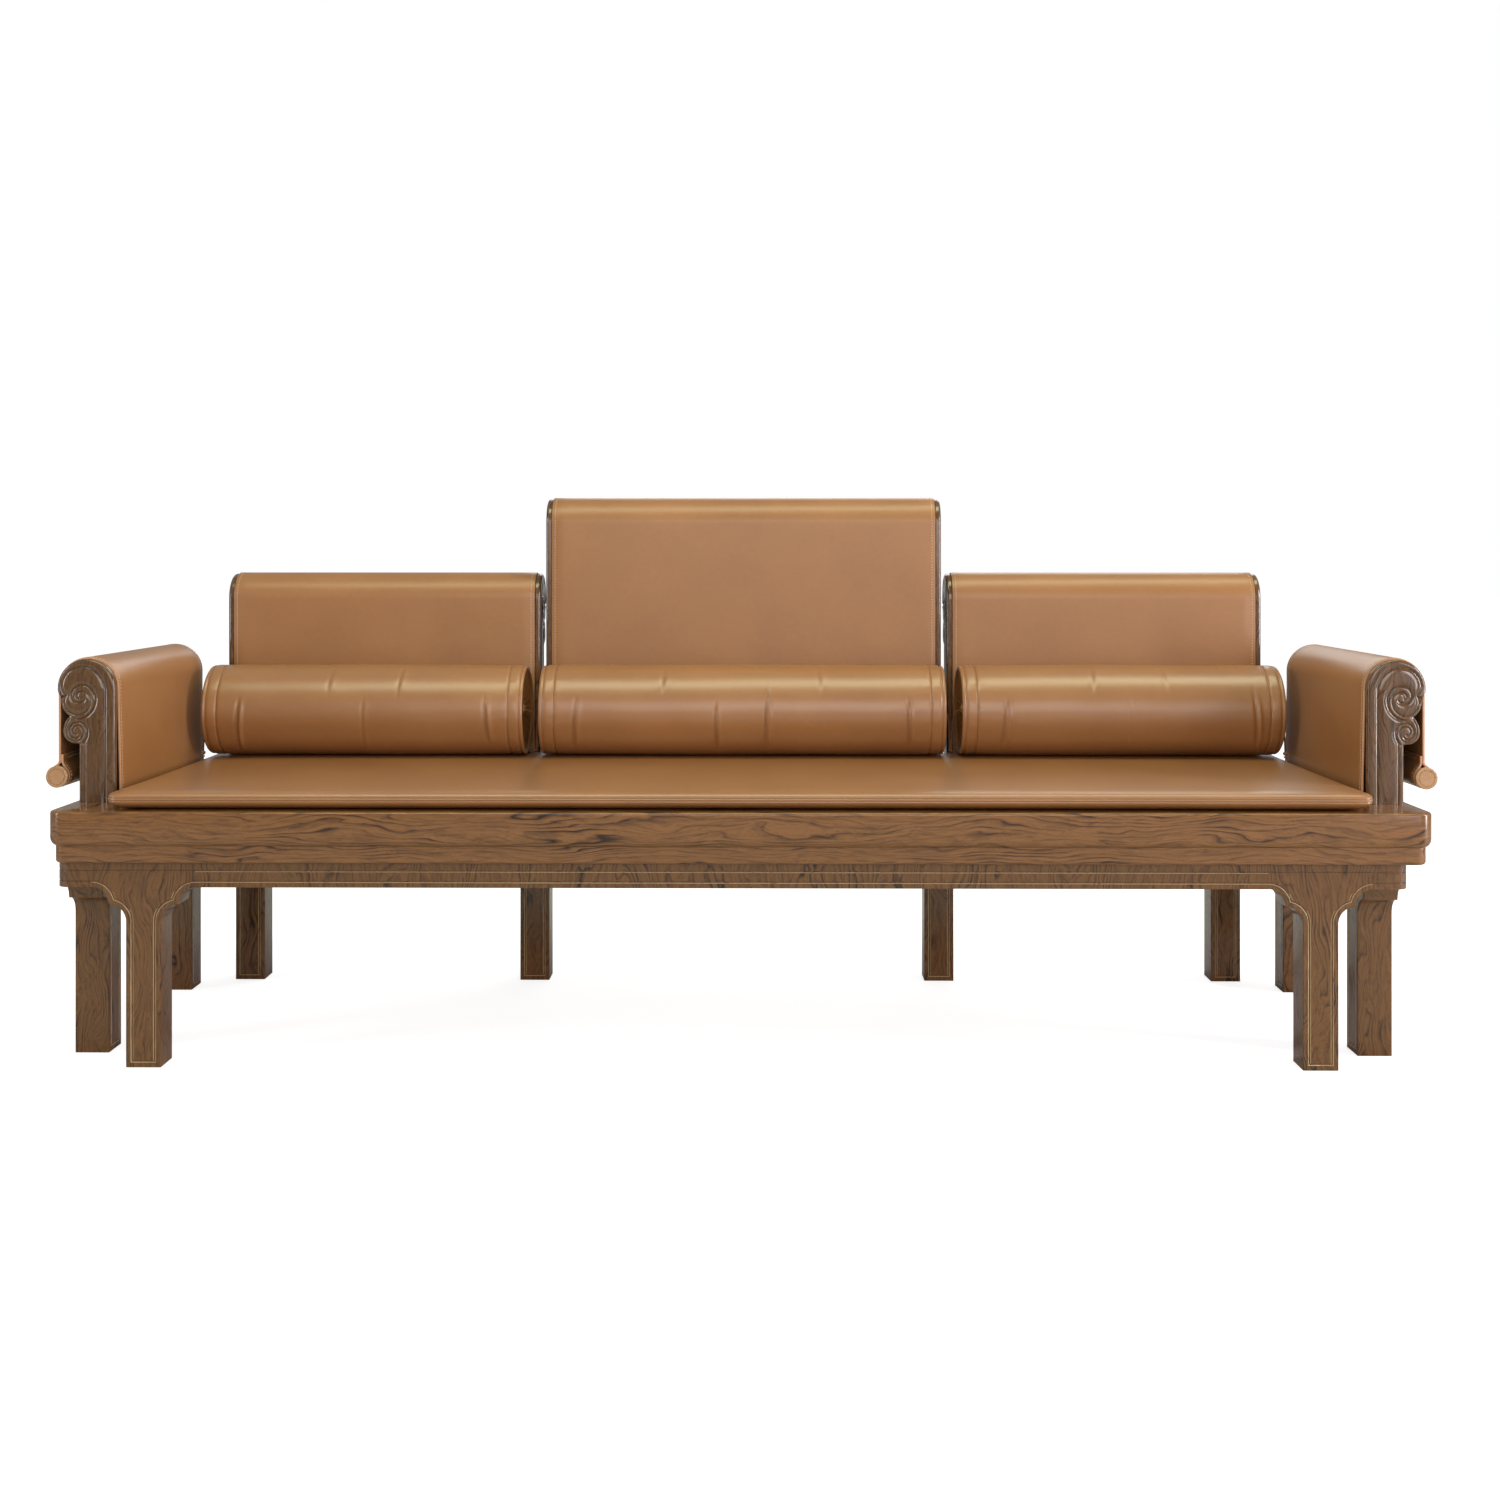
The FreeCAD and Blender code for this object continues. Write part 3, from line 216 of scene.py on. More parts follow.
def timber(name, along, tones, ringWidth, gloss, swirl, lacquer=0.7):
    # Flat-sawn hardwood: wavy growth lines that open into cathedrals, dark streaks, fine fibres.
    # Along is the axis that the grain follows. Tones run from dark streak to light wood. Swirl is
    # the waves that bend the grain: how many to the metre along it and across, and how far.
    material, tree = newMaterial(name)
    place = addNode(tree, "TexCoord").outputs["Object"]
    turn = {"X": (0, 0, 0), "Y": (0, 0, math.radians(-90)), "Z": (0, math.radians(90), 0)}[along]
    lined = addNode(tree, "Mapping", {"Vector": place, "Rotation": turn,
                                      "Location": woodFigure["heart"]}).outputs[0]

    def noiseOf(spot, scale, detail, roughness):
        stretched = addNode(tree, "VectorMath", {0: spot, 1: scale}, operation="MULTIPLY")
        return addNode(tree, "TexNoise", {"Vector": stretched.outputs[0], "Scale": 1,
                                          "Detail": detail, "Roughness": roughness})

    def bent(spot, scale, amount):
        # pushes the grain sideways in waves
        wave = noiseOf(spot, scale, 1.5, 0.5)
        centred = addNode(tree, "VectorMath", {0: wave.outputs["Color"], 1: (0.5, 0.5, 0.5)},
                          operation="SUBTRACT")
        return addNode(tree, "VectorMath", {0: centred.outputs[0], 1: (0, amount, amount), 2: spot},
                       operation="MULTIPLY_ADD").outputs[0]

    lengthways, crossways, bend = swirl
    wide = bent(lined, (lengthways, crossways, crossways), bend)
    close = bent(wide, woodFigure["closeWaves"], woodFigure["closeBend"])
    # growth rings, a ring width apart, that swell and close into cathedrals
    across = addNode(tree, "VectorMath", {0: close, 1: (0, 1, 1)}, operation="MULTIPLY")
    radius = addNode(tree, "VectorMath", {0: across.outputs[0]}, operation="LENGTH")
    swell = noiseOf(wide, (2.6, 20, 20), 2, 0.5)
    rings = addNode(tree, "Math", {0: radius.outputs["Value"], 1: 1 / ringWidth},
                    operation="MULTIPLY")
    rings = addNode(tree, "Math", {0: swell.outputs["Fac"], 1: woodFigure["swell"],
                                   2: rings.outputs[0]}, operation="MULTIPLY_ADD")
    ring = addNode(tree, "Math", {0: rings.outputs[0], 1: 1}, operation="FRACT")
    late = addRamp(tree, ring.outputs[0], [(0.0, grey(0.42)), (0.14, grey(0.08)), (0.5, grey(0.16)),
                                           (0.8, grey(0.45)), (0.92, grey(1)), (1.0, grey(0.42))])
    patches = noiseOf(wide, (7, 26, 26), 3, 0.6)
    streak = addRamp(tree, patches.outputs["Fac"], [(0.42, grey(0.12)), (0.56, grey(0.42)),
                                                    (0.7, grey(1))])
    fibres = noiseOf(close, (9, 260, 260), 4, 0.68)
    pores = noiseOf(close, (38, 1100, 1100), 2, 0.6)
    # brightness: fibres, less the latewood lines, which are darkest in the streaks
    shade = addNode(tree, "Math", {0: late.outputs[0], 1: streak.outputs[0]}, operation="MULTIPLY")
    shade = addNode(tree, "Math", {0: shade.outputs[0], 1: woodFigure["lateLines"],
                                   2: woodFigure["level"]}, operation="MULTIPLY_ADD")
    for layer, part in ((fibres, "fibres"), (patches, "patches")):
        shade = addNode(tree, "Math", {0: layer.outputs["Fac"], 1: woodFigure[part],
                                       2: shade.outputs[0]}, operation="MULTIPLY_ADD")
    wood = addRamp(tree, shade.outputs[0], [(0.2, colour(tones[0])), (0.46, colour(tones[1])),
                                            (0.68, colour(tones[2])), (0.9, colour(tones[3]))])
    pitted = addRamp(tree, pores.outputs["Fac"], [(0.36, grey(0.72)), (0.46, grey(1))])
    body = addNode(tree, "Mix", {0: 1.0, 6: wood.outputs[0], 7: pitted.outputs[0]},
                   data_type="RGBA", blend_type="MULTIPLY")
    rough = addRamp(tree, pores.outputs["Fac"], [(0.34, grey(gloss + 0.14)), (0.5, grey(gloss))])
    relief = addNode(tree, "Bump", {"Height": pitted.outputs[0], "Strength": 0.12,
                                    "Distance": 0.0003})
    finishMaterial(tree, body.outputs[2], rough.outputs[0], relief.outputs[0],
                   Coat_Weight=lacquer, Coat_Roughness=0.15, Coat_IOR=1.65, Specular_IOR_Level=0.05)
    return material


# satin varnished walnut: growth lines 7.5 to 8.5 mm apart, drawn at their real size
walnutTones = ("140A05", "3D2411", "634125", "875B33")
legTones = ("110903", "341D0D", "54371D", "744E2A")
carvedTones = ("0F0602", "2E1B0B", "492F18", "674626")
longFigure = (3.6, 13, 0.062)
curlyFigure = (8, 15, 0.075)
walnutX = timber("walnutGrainX", "X", walnutTones, 0.0075, 0.32, longFigure)
walnutY = timber("walnutGrainY", "Y", walnutTones, 0.0075, 0.32, longFigure)
walnutZ = timber("walnutGrainZ", "Z", legTones, 0.0085, 0.28, curlyFigure)
walnutCarved = timber("walnutCarved", "Z", carvedTones, 0.0075, 0.25, curlyFigure, lacquer=1)
# the boards under the leather: near-black, a painted shade for the gap between leather and bracket,
# and left matt
shadeBoardTones = ("0E0704", "1C1008", "2A190E", "382414")
paintedShadeBoard = timber("boardPaintedShade", "Z", shadeBoardTones, 0.0075, 0.6, longFigure, lacquer=0)
# the lips of the carved lines, pale and glossy: a painted highlight
lipHighlightTones = ("6A5238", "886C4A", "A0825A", "B29468")
paintedHighlightLip = timber("walnutLipPaintedHighlight", "Z", lipHighlightTones, 0.0075, 0.25, longFigure, lacquer=1)
# pale turned hardwood of the hem rods, nearly bare
rodTones = ("7A5438", "966C49", "AC825C", "BC9069")
rodX = timber("rodWoodX", "X", rodTones, 0.004, 0.45, longFigure)
rodY = timber("rodWoodY", "Y", rodTones, 0.004, 0.45, longFigure)


def hideMaterial(name, source, tones, gloss, wax):
    # Vegetable-tanned saddle leather, smooth and waxed: pores about 0.8 mm, drawn at 1.3 mm so
    # that they show, soft clouding, broad satin highlights.
    material, tree = newMaterial(name)
    place = addNode(tree, "TexCoord").outputs[source]
    cloud, mottle, wrinkle = [
        addNode(tree, "TexNoise", {"Vector": place, "Scale": scale, "Detail": detail,
                                   "Roughness": roughness})
        for scale, detail, roughness in ((6.5, 4, 0.55), (90, 3, 0.6), (420, 3, 0.6))]
    grain = addNode(tree, "TexVoronoi", {"Vector": place, "Scale": 1 / 0.0013}, feature="F1")
    mixed = addNode(tree, "Mix", {0: 0.3, 6: cloud.outputs["Fac"], 7: mottle.outputs["Fac"]},
                    data_type="RGBA")
    tint = addRamp(tree, mixed.outputs[2], [(0.3, colour(tones[0])), (0.5, colour(tones[1])),
                                            (0.72, colour(tones[2]))])
    height = addNode(tree, "Math", {0: grain.outputs["Distance"], 1: 0.6,
                                    2: wrinkle.outputs["Fac"]}, operation="MULTIPLY_ADD")
    relief = addNode(tree, "Bump", {"Height": height.outputs[0], "Strength": 0.1,
                                    "Distance": 0.0004})
    rough = addRamp(tree, mixed.outputs[2], [(0.25, grey(gloss - 0.05)),
                                             (0.75, grey(gloss + 0.06))])
    finishMaterial(tree, tint.outputs[0], rough.outputs[0], relief.outputs[0],
                   Specular_IOR_Level=0.45, Coat_Weight=wax, Coat_Roughness=0.3)
    return material


hideTones = ("926239", "99683C", "A06E41")
slungHide = hideMaterial("saddleLeatherSlung", "UV", hideTones, 0.44, 0.42)
stuffedHide = hideMaterial("saddleLeatherStuffed", "Object", hideTones, 0.38, 0.85)
# the cut edge of the leather, paler and drier than its face
cutEdge = hideMaterial("leatherCutEdge", "UV", ("B98662", "CB9874", "DAAA88"), 0.6, 0)


def threadMaterial(name, tones, pitch):
    # twisted waxed thread: fine oblique ridges
    material, tree = newMaterial(name)
    place = addNode(tree, "TexCoord").outputs["Object"]
    twist = addNode(tree, "TexWave", {"Vector": place, "Scale": 0.3 / pitch, "Distortion": 1.5},
                    bands_direction="DIAGONAL")
    tint = addRamp(tree, twist.outputs["Fac"], [(0.2, colour(tones[0])), (0.8, colour(tones[1]))])
    relief = addNode(tree, "Bump", {"Height": twist.outputs["Fac"], "Strength": 0.3,
                                    "Distance": 0.0003})
    finishMaterial(tree, tint.outputs[0], 0.6, relief.outputs[0], Specular_IOR_Level=0.4)
    return material


stitchThread = threadMaterial("waxedStitchThread", ("CDA88E", "EBD3BF"), 0.001)
tieCord = threadMaterial("twistedTieCord", ("6E4226", "92603C"), 0.0016)


def plainGround(name, tone, lift):
    # the pale floor: matt, lifted a little for the camera so that it reads as paper white
    material, tree = newMaterial(name)
    speck = addNode(tree, "TexNoise", {"Vector": addNode(tree, "TexCoord").outputs["Object"],
                                       "Scale": 3})
    shade = addRamp(tree, speck.outputs["Fac"], [(0.3, grey(tone - 0.01)), (0.7, grey(tone))])
    matt = addNode(tree, "BsdfDiffuse", {"Color": shade.outputs[0]})
    path = addNode(tree, "LightPath")
    seen = addNode(tree, "Math", {0: path.outputs["Is Camera Ray"], 1: lift}, operation="MULTIPLY")
    glow = addNode(tree, "Emission", {"Color": (1, 1, 1, 1), "Strength": seen.outputs[0]})
    both = addNode(tree, "AddShader", {0: matt.outputs[0], 1: glow.outputs[0]})
    addNode(tree, "OutputMaterial", {"Surface": both.outputs[0]})
    return material


# floor and light
clearSelection()
bpy.ops.mesh.primitive_plane_add(size=60, location=(0, 0, -0.6 * mm))
floor = bpy.context.object
settle(floor, "floor", plainGround("paleFloor", 0.6, 0.82))

world = bpy.data.worlds.new("studio")
bpy.context.scene.world = world
world.use_nodes = True
world.node_tree.nodes.clear()
path = addNode(world.node_tree, "LightPath")
rays = addNode(world.node_tree, "Math", {0: path.outputs["Is Camera Ray"],
                                         1: path.outputs["Is Transmission Ray"]},
               operation="MAXIMUM")
strength = addNode(world.node_tree, "Mix", {0: rays.outputs[0], 2: 0.36, 3: 1.0},
                   data_type="FLOAT")
sky = addNode(world.node_tree, "Background", {"Color": (1, 1, 1, 1),
                                              "Strength": strength.outputs[0]})
addNode(world.node_tree, "OutputWorld", {"Surface": sky.outputs[0]})

lamps = [
    # name, place, aim, width, height, watts, colour
    ("topLight", (0.3, -0.6, 3.4), (0, 0.1, 0.6), 4.4, 1.0, 71, (0.91, 1, 0.68)),
    ("frontLight", (0.4, -4.8, 1.7), (0, 0, 0.45), 3.0, 2.0, 56, (1, 0.97, 0.93)),
    ("rightLight", (3.9, -1.2, 1.2), (-0.2, 0, 0.5), 0.6, 2.4, 96, (1, 0.95, 0.95)),
    ("rightFrontLight", (3.1, -4.2, 0.9), (0.9, 0, 0.5), 0.8, 1.6, 30, (0.93, 0.92, 1)),
    ("leftLight", (-3.8, -1.8, 1.2), (-0.6, 0, 0.5), 0.7, 2.2, 38, (0.95, 0.95, 1)),
    ("rearLight", (0.6, 3.8, 2.6), (0, 0.2, 0.6), 3.0, 1.6, 30, (1, 1, 1)),
]
for name, place, aim, width, height, watts, tint in lamps:
    lamp = bpy.data.lights.new(name, "AREA")
    lamp.shape = "RECTANGLE"
    lamp.size = width
    lamp.size_y = height
    lamp.energy = watts
    lamp.color = tint
    holder = bpy.data.objects.new(name, lamp)
    bpy.context.scene.collection.objects.link(holder)
    holder.location = place
    holder.rotation_euler = (Vector(aim) - Vector(place)).to_track_quat("-Z", "Y").to_euler()
print("camera, floor and lights set")


# seat frame, aprons and legs
easing = {
    "lip": 1.2,  # round on the lips of the carved lines, in mm
    "arris": 0.7,  # round on every other outer edge
    "lineDepth": 1.6,  # depth of a carved line, and how near to it a wall counts as one
    "near": 0.12,
    "segments": 2,
    "angle": 28,  # sharper edges than this are eased
    "flat": 0.4,  # faces that turn less than this are one
}
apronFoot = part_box("apron_front")[0].z


def kindOfEdge(edge, node):
    # lip of a carved line, arris, or none: joints that close flush stay sharp
    if len(edge.link_faces) != 2 or not edge.is_convex:
        return None
    if math.degrees(edge.calc_face_angle(0)) < easing["angle"]:
        return None
    start, end = (vertex.co for vertex in edge.verts)
    run = (end - start).normalized()
    for wall in edge.link_faces:
        reach = [v.co - start for v in wall.verts]
        depth = max((r - run * r.dot(run)).length for r in reach) / mm
        # a lip of a carved line is rounded and painted pale as a highlight, save an upper lip
        if abs(depth - easing["lineDepth"]) < easing["near"]:
            return None if wall.normal.z < -0.6 else "lip"  # an upper lip stays in shadow
    if node.startswith("apron"):
        return None
    if node.startswith("leg") and max(start.z, end.z) > apronFoot - 0.3 * mm:
        return None
    return "arris"


def easeEdges(node, material):
    # a copy of the CAD piece with its edges rounded, as a finished piece of joinery has them; the
    # rounds on the lips of the carved lines are painted pale as a highlight
    piece = nodeCopy(node, node + "_eased")
    openMesh(piece)
    bpy.ops.mesh.dissolve_limited(angle_limit=math.radians(easing["flat"]))
    closeMesh()
    settle(piece, node + "_eased", [material, paintedHighlightLip])
    workOn(piece)
    bpy.ops.object.shade_smooth_by_angle(angle=math.radians(easing["angle"]))
    skin = bmesh.new()
    skin.from_mesh(piece.data)
    layers = {kind: skin.edges.layers.float.new(kind) for kind in ("lip", "arris")}
    for edge in skin.edges:
        kind = kindOfEdge(edge, node)
        if kind:
            edge[layers[kind]] = 1
    skin.to_mesh(piece.data)
    skin.free()
    # the lip rounds take slot 1, the pale painted highlight; the arris rounds keep the wood
    for kind, slot in (("lip", 1), ("arris", -1)):
        soften = piece.modifiers.new(kind, "BEVEL")
        soften.width = easing[kind] * mm
        soften.segments = easing["segments"]
        soften.limit_method = "WEIGHT"
        soften.edge_weight = kind
        soften.material = slot
        soften.harden_normals = True
        soften.use_clamp_overlap = kind != "lip"
    applyModifiers(piece)
    belong(piece, "frame", "walnut", node)


def dress(node, material):
    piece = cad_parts[node]
    piece.data.materials.clear()
    piece.data.materials.append(material)


for node in list(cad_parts):
    if node.startswith("seat_rail"):
        easeEdges(node, walnutX if node.endswith(("front", "back")) else walnutY)
    elif node.startswith(("leg", "apron")):
        easeEdges(node, walnutZ)
    elif node == "seat_board":
        dress(node, walnutX)
    elif node.startswith("batten"):
        dress(node, walnutY)
    elif node.endswith("hem_rod"):
        dress(node, rodX if "back" in node else rodY)
    elif node.endswith("core"):
        # the cores take the near-black painted shade
        dress(node, paintedShadeBoard)
print("rails, aprons and legs eased")


# arms and backs
restTurns = {"right_arm": 0, "left_arm": 180, "centre_back": 90, "right_back": 90, "left_back": 90}
leather = {
    "thickness": 4,  # all in mm
    "proud": 2.5,  # of the brackets' inner face
    "endInset": 10,  # from each end of the unit
    "armGap": 4.5,  # dark line between the leather and its bracket
    "backGap": 1.5,
    "headRadius": 47.9,  # of the scroll heads
    "hang": 96.3,  # middle of the hanging ply, out from the inner face
    "innerPly": 92.2,
    "rodOut": 97.3,
    "rodUp": 42.2,
    "wrap": 16.2,  # middle of the leather round the rod
    "split": 64.0,  # where the two plies part above the rod
    "hemTop": 77.6,
    "rowStep": 3.2,
    "columnStep": 26,
    "armSlack": 4,  # how far the leather hangs off an arm's inner face, at the seat
    "slackLeft": (0.9, 0.06),  # at this share of the height, this share of it
    "eased": 6,  # passes that round the bends where the plies part
    "edgeRound": 0.7,
    "bendFrom": (0, 6),  # where the fall begins to swing: out from its ply, up from the centre
    "bendTo": (5, 5),
}


def readRest(label):
    # the unit's own frame: out from the inner face, along its length, up from the seat, in mm
    low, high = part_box(label + "_cover")
    turn = restTurns[label]
    proud = leather["proud"] * mm
    end = leather["endInset"] * mm
    if turn == 0:
        base = Vector((low.x + proud, low.y - end, low.z))
        length = high.y - low.y
    elif turn == 180:
        base = Vector((high.x - proud, high.y + end, low.z))
        length = high.y - low.y
    else:
        base = Vector((high.x + end, low.y + proud, low.z))
        length = high.x - low.x
    place = Matrix.Translation(base) @ Matrix.Rotation(math.radians(turn), 4, "Z")
    return {
        "label": label,
        "place": place @ Matrix.Scale(mm, 4),
        "rise": (high.z - low.z) / mm - leather["proud"],
        "length": length / mm + 2 * leather["endInset"],
        "hinge": label + "_fall",
        "inset": leather["endInset"] + leather["armGap" if turn in (0, 180) else "backGap"],
        "slack": leather["armSlack"] if turn in (0, 180) else 0,
    }


def arcPoints(centre, radius, begin, end):
    steps = max(2, int(abs(end - begin) / 2))
    turns = [math.radians(begin + (end - begin) * i / steps) for i in range(steps + 1)]
    return [(centre[0] + radius * math.cos(t), centre[1] + radius * math.sin(t)) for t in turns]


def tangentAngle(centre, point, radius, side):
    # where a line from the point touches the circle, in degrees
    across, up = point[0] - centre[0], point[1] - centre[1]
    bearing = math.degrees(math.atan2(up, across))
    return bearing + side * math.degrees(math.acos(radius / math.hypot(across, up)))


def evenly(points, step):
    # the same line with points an even step apart
    line = [Vector(points[0])]
    for end in points[1:]:
        start = line[-1].copy()
        run = Vector(end) - start
        count = max(1, round(run.length / step))
        line += [start + run * (i + 1) / count for i in range(count)]
    return line


def hideLine(rise, slack):
    # side view of the slung leather: up the inner face, over the head, down, round the rod
    head = rise - leather["headRadius"]
    skin = leather["thickness"] / 2 - leather["proud"]
    rod = (leather["rodOut"], leather["rodUp"])
    outer = (leather["hang"], leather["split"])
    inner = (leather["innerPly"], leather["split"])
    touch = tangentAngle(rod, outer, leather["wrap"], -1)
    leave = tangentAngle(rod, inner, leather["wrap"], 1)
    height, left = leather["slackLeft"]
    points = [(skin - slack, 0), (skin - slack * left, head * height), (skin, head)]
    points += arcPoints((leather["headRadius"], head), leather["headRadius"] - skin, 180, 0)
    points += [outer]
    points += arcPoints(rod, leather["wrap"], touch, leave - 360)
    points += [inner, (leather["innerPly"], leather["hemTop"])]
    line = evenly(points, 1)
    for _ in range(leather["eased"]):
        line = [line[0]] + [(line[i - 1] + line[i] * 2 + line[i + 1]) / 4
                            for i in range(1, len(line) - 1)] + [line[-1]]
    return line


class Line:
    # a side view that can be read at any distance along it
    def __init__(self, points):
        self.points = points
        self.reached = [0]
        for before, after in zip(points, points[1:]):
            self.reached.append(self.reached[-1] + (after - before).length)
        self.length = self.reached[-1]

    def at(self, distance):
        low, high = 0, len(self.points) - 1
        while high - low > 1:
            middle = (low + high) // 2
            if self.reached[middle] <= distance:
                low = middle
            else:
                high = middle
        run = self.points[high] - self.points[low]
        share = (distance - self.reached[low]) / max(run.length, 1e-6)
        towards = run.normalized()
        return self.points[low] + run * share, towards, Vector((-towards.y, towards.x))


def slingHide(rest):
    # a flat hide, laid out to size and wrapped over the core
    line = Line(hideLine(rest["rise"], rest["slack"]))
    inset = rest["inset"]
    width = rest["length"] - 2 * inset
    rows = round(line.length / leather["rowStep"])
    columns = round(width / leather["columnStep"])
    clearSelection()
    bpy.ops.mesh.primitive_grid_add(x_subdivisions=columns, y_subdivisions=rows, size=1)
    piece = bpy.context.object
    flat = [(v.co.x + 0.5, v.co.y + 0.5) for v in piece.data.vertices]
    uv = piece.data.uv_layers.active.data
    for loop in piece.data.loops:
        across, down = flat[loop.vertex_index]
        uv[loop.index].uv = (across * width * mm, down * line.length * mm)
    for vertex, (across, down) in zip(piece.data.vertices, flat):
        spot = line.at(down * line.length)[0]
        vertex.co = (spot.x, inset + (1 - across) * width, spot.y)
    settle(piece, rest["label"] + "_hide", [slungHide, cutEdge], rest["place"])
    solid = piece.modifiers.new("hideThickness", "SOLIDIFY")
    solid.thickness = leather["thickness"] * mm
    solid.offset = 0
    solid.use_even_offset = True
    solid.material_offset_rim = 1
    soft = piece.modifiers.new("pressedEdge", "BEVEL")
    soft.width = leather["edgeRound"] * mm
    soft.segments = 2
    soft.limit_method = "ANGLE"
    soft.angle_limit = math.radians(50)
    head = rest["rise"] - leather["headRadius"]
    rest["bend"] = [rest["place"] @ Vector((leather["hang"] + out, 0, head + up))
                    for out, up in (leather["bendFrom"], leather["bendTo"])]
    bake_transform(piece)
    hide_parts(rest["label"] + "_cover", rest["label"] + "_fall")
    rest["line"] = line
    rest["width"] = width


stitching = {
    "pitch": 5.6,
    "length": 3.8,
    "width": 1.0,
    "height": 0.6,
    "tilt": 9,
    "fromEdge": 6.5,
    "fromEnd": 8,  # first and last stitch of a side row
    "hemFromEnd": 15,
    "hemDown": 6,
}


def oneStitch():
    # a short rounded stitch lying along x
    clearSelection()
    bpy.ops.mesh.primitive_uv_sphere_add(segments=6, ring_count=5, radius=1)
    piece = bpy.context.object
    openMesh(piece)
    bpy.ops.transform.rotate(value=math.radians(90), orient_axis="Y", center_override=(0, 0, 0))
    bpy.ops.transform.resize(value=(stitching["length"] / 2, stitching["width"] / 2,
                                    stitching["height"]), center_override=(0, 0, 0))
    closeMesh()
    points = [v.co.copy() for v in piece.data.vertices]
    faces = [tuple(face.vertices) for face in piece.data.polygons]
    bpy.data.objects.remove(piece)
    return points, faces


stitchPoints, stitchFaces = oneStitch()


def sewRows(name, spots):
    # spots: (place, direction of the seam, up from the leather), in the unit's millimetres
    points, faces = [], []
    for place, towards, up in spots:
        across = up.cross(towards)
        lean = math.radians(stitching["tilt"])
        ahead = towards * math.cos(lean) + across * math.sin(lean)
        aside = up.cross(ahead)
        first = len(points)
        points += [place + ahead * p.x + aside * p.y + up * p.z for p in stitchPoints]
        faces += [tuple(first + i for i in face) for face in stitchFaces]
    return meshPiece(name, points, faces)


def sewHide(rest):
    # two rows along the side edges and two along the hem
    line, length = rest["line"], rest["length"]
    lift = leather["thickness"] / 2
    inset = rest["inset"] + stitching["fromEdge"]
    spots = []
    for along in (inset, length - inset):
        count = int((line.length - 2 * stitching["fromEnd"]) / stitching["pitch"])
        for i in range(count):
            spot, towards, out = line.at(stitching["fromEnd"] + i * stitching["pitch"])
            place = Vector((spot.x + out.x * lift, along, spot.y + out.y * lift))
            spots.append((place, Vector((towards.x, 0, towards.y)), Vector((out.x, 0, out.y))))
    count = int((rest["width"] - 2 * stitching["hemFromEnd"]) / stitching["pitch"])
    first = (length - (count - 1) * stitching["pitch"]) / 2
    level = leather["hemTop"] - stitching["hemDown"]
    for i in range(count):
        along = first + i * stitching["pitch"]
        inside = Vector((leather["innerPly"] - lift, along, level))
        outside = Vector((leather["hang"] + lift, along, level))
        spots.append((inside, Vector((0, 1, 0)), Vector((-1, 0, 0))))
        spots.append((outside, Vector((0, 1, 0)), Vector((1, 0, 0))))
    piece = sewRows(rest["label"] + "_stitches", spots)
    settle(piece, rest["label"] + "_stitches", stitchThread, rest["place"])
    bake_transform(piece)


rests = {label: readRest(label) for label in restTurns}
for rest in rests.values():
    slingHide(rest)
    sewHide(rest)
print("leather slung and stitched")


# carved brackets
bracketSides = {"right_arm": ("front", "rear"), "left_arm": ("rear", "front")}
carving = {
    "voxel": 0.7,  # all in mm
    "boardCut": 5,  # the relief is cut off the CAD copy in front of this and carved afresh
    "faceDeep": 6,  # how far back the carving moves the wood
    "hookDeep": 10.4,
    "edgeRound": 5.5,
    "edgeDepth": 4.6,
    "flatRim": 0.2,  # the outermost wood keeps its full depth
    "postRound": 3,
    "postDepth": 2,
    "smooth": 2,
    "keep": 0.4,  # share of the faces left where the carving is flat
    "postCut": 80,  # below this the post is plain and drawn down to the seat
    "postWidth": 58.8,
    "postSlack": 4,  # the post's own outer edge is rounded apart from the outline
    "lineStep": 0.4,
    "lineReach": 12,  # no cut line rounds the wood further off than this
    "fade": 0.7,
    # across, up and radius
    "upperScroll": (60.9, -22.4, 28.3),
    "lowerScroll": (65.5, -71, 21),
    "neck": (51.2, -71, 35.3),
}
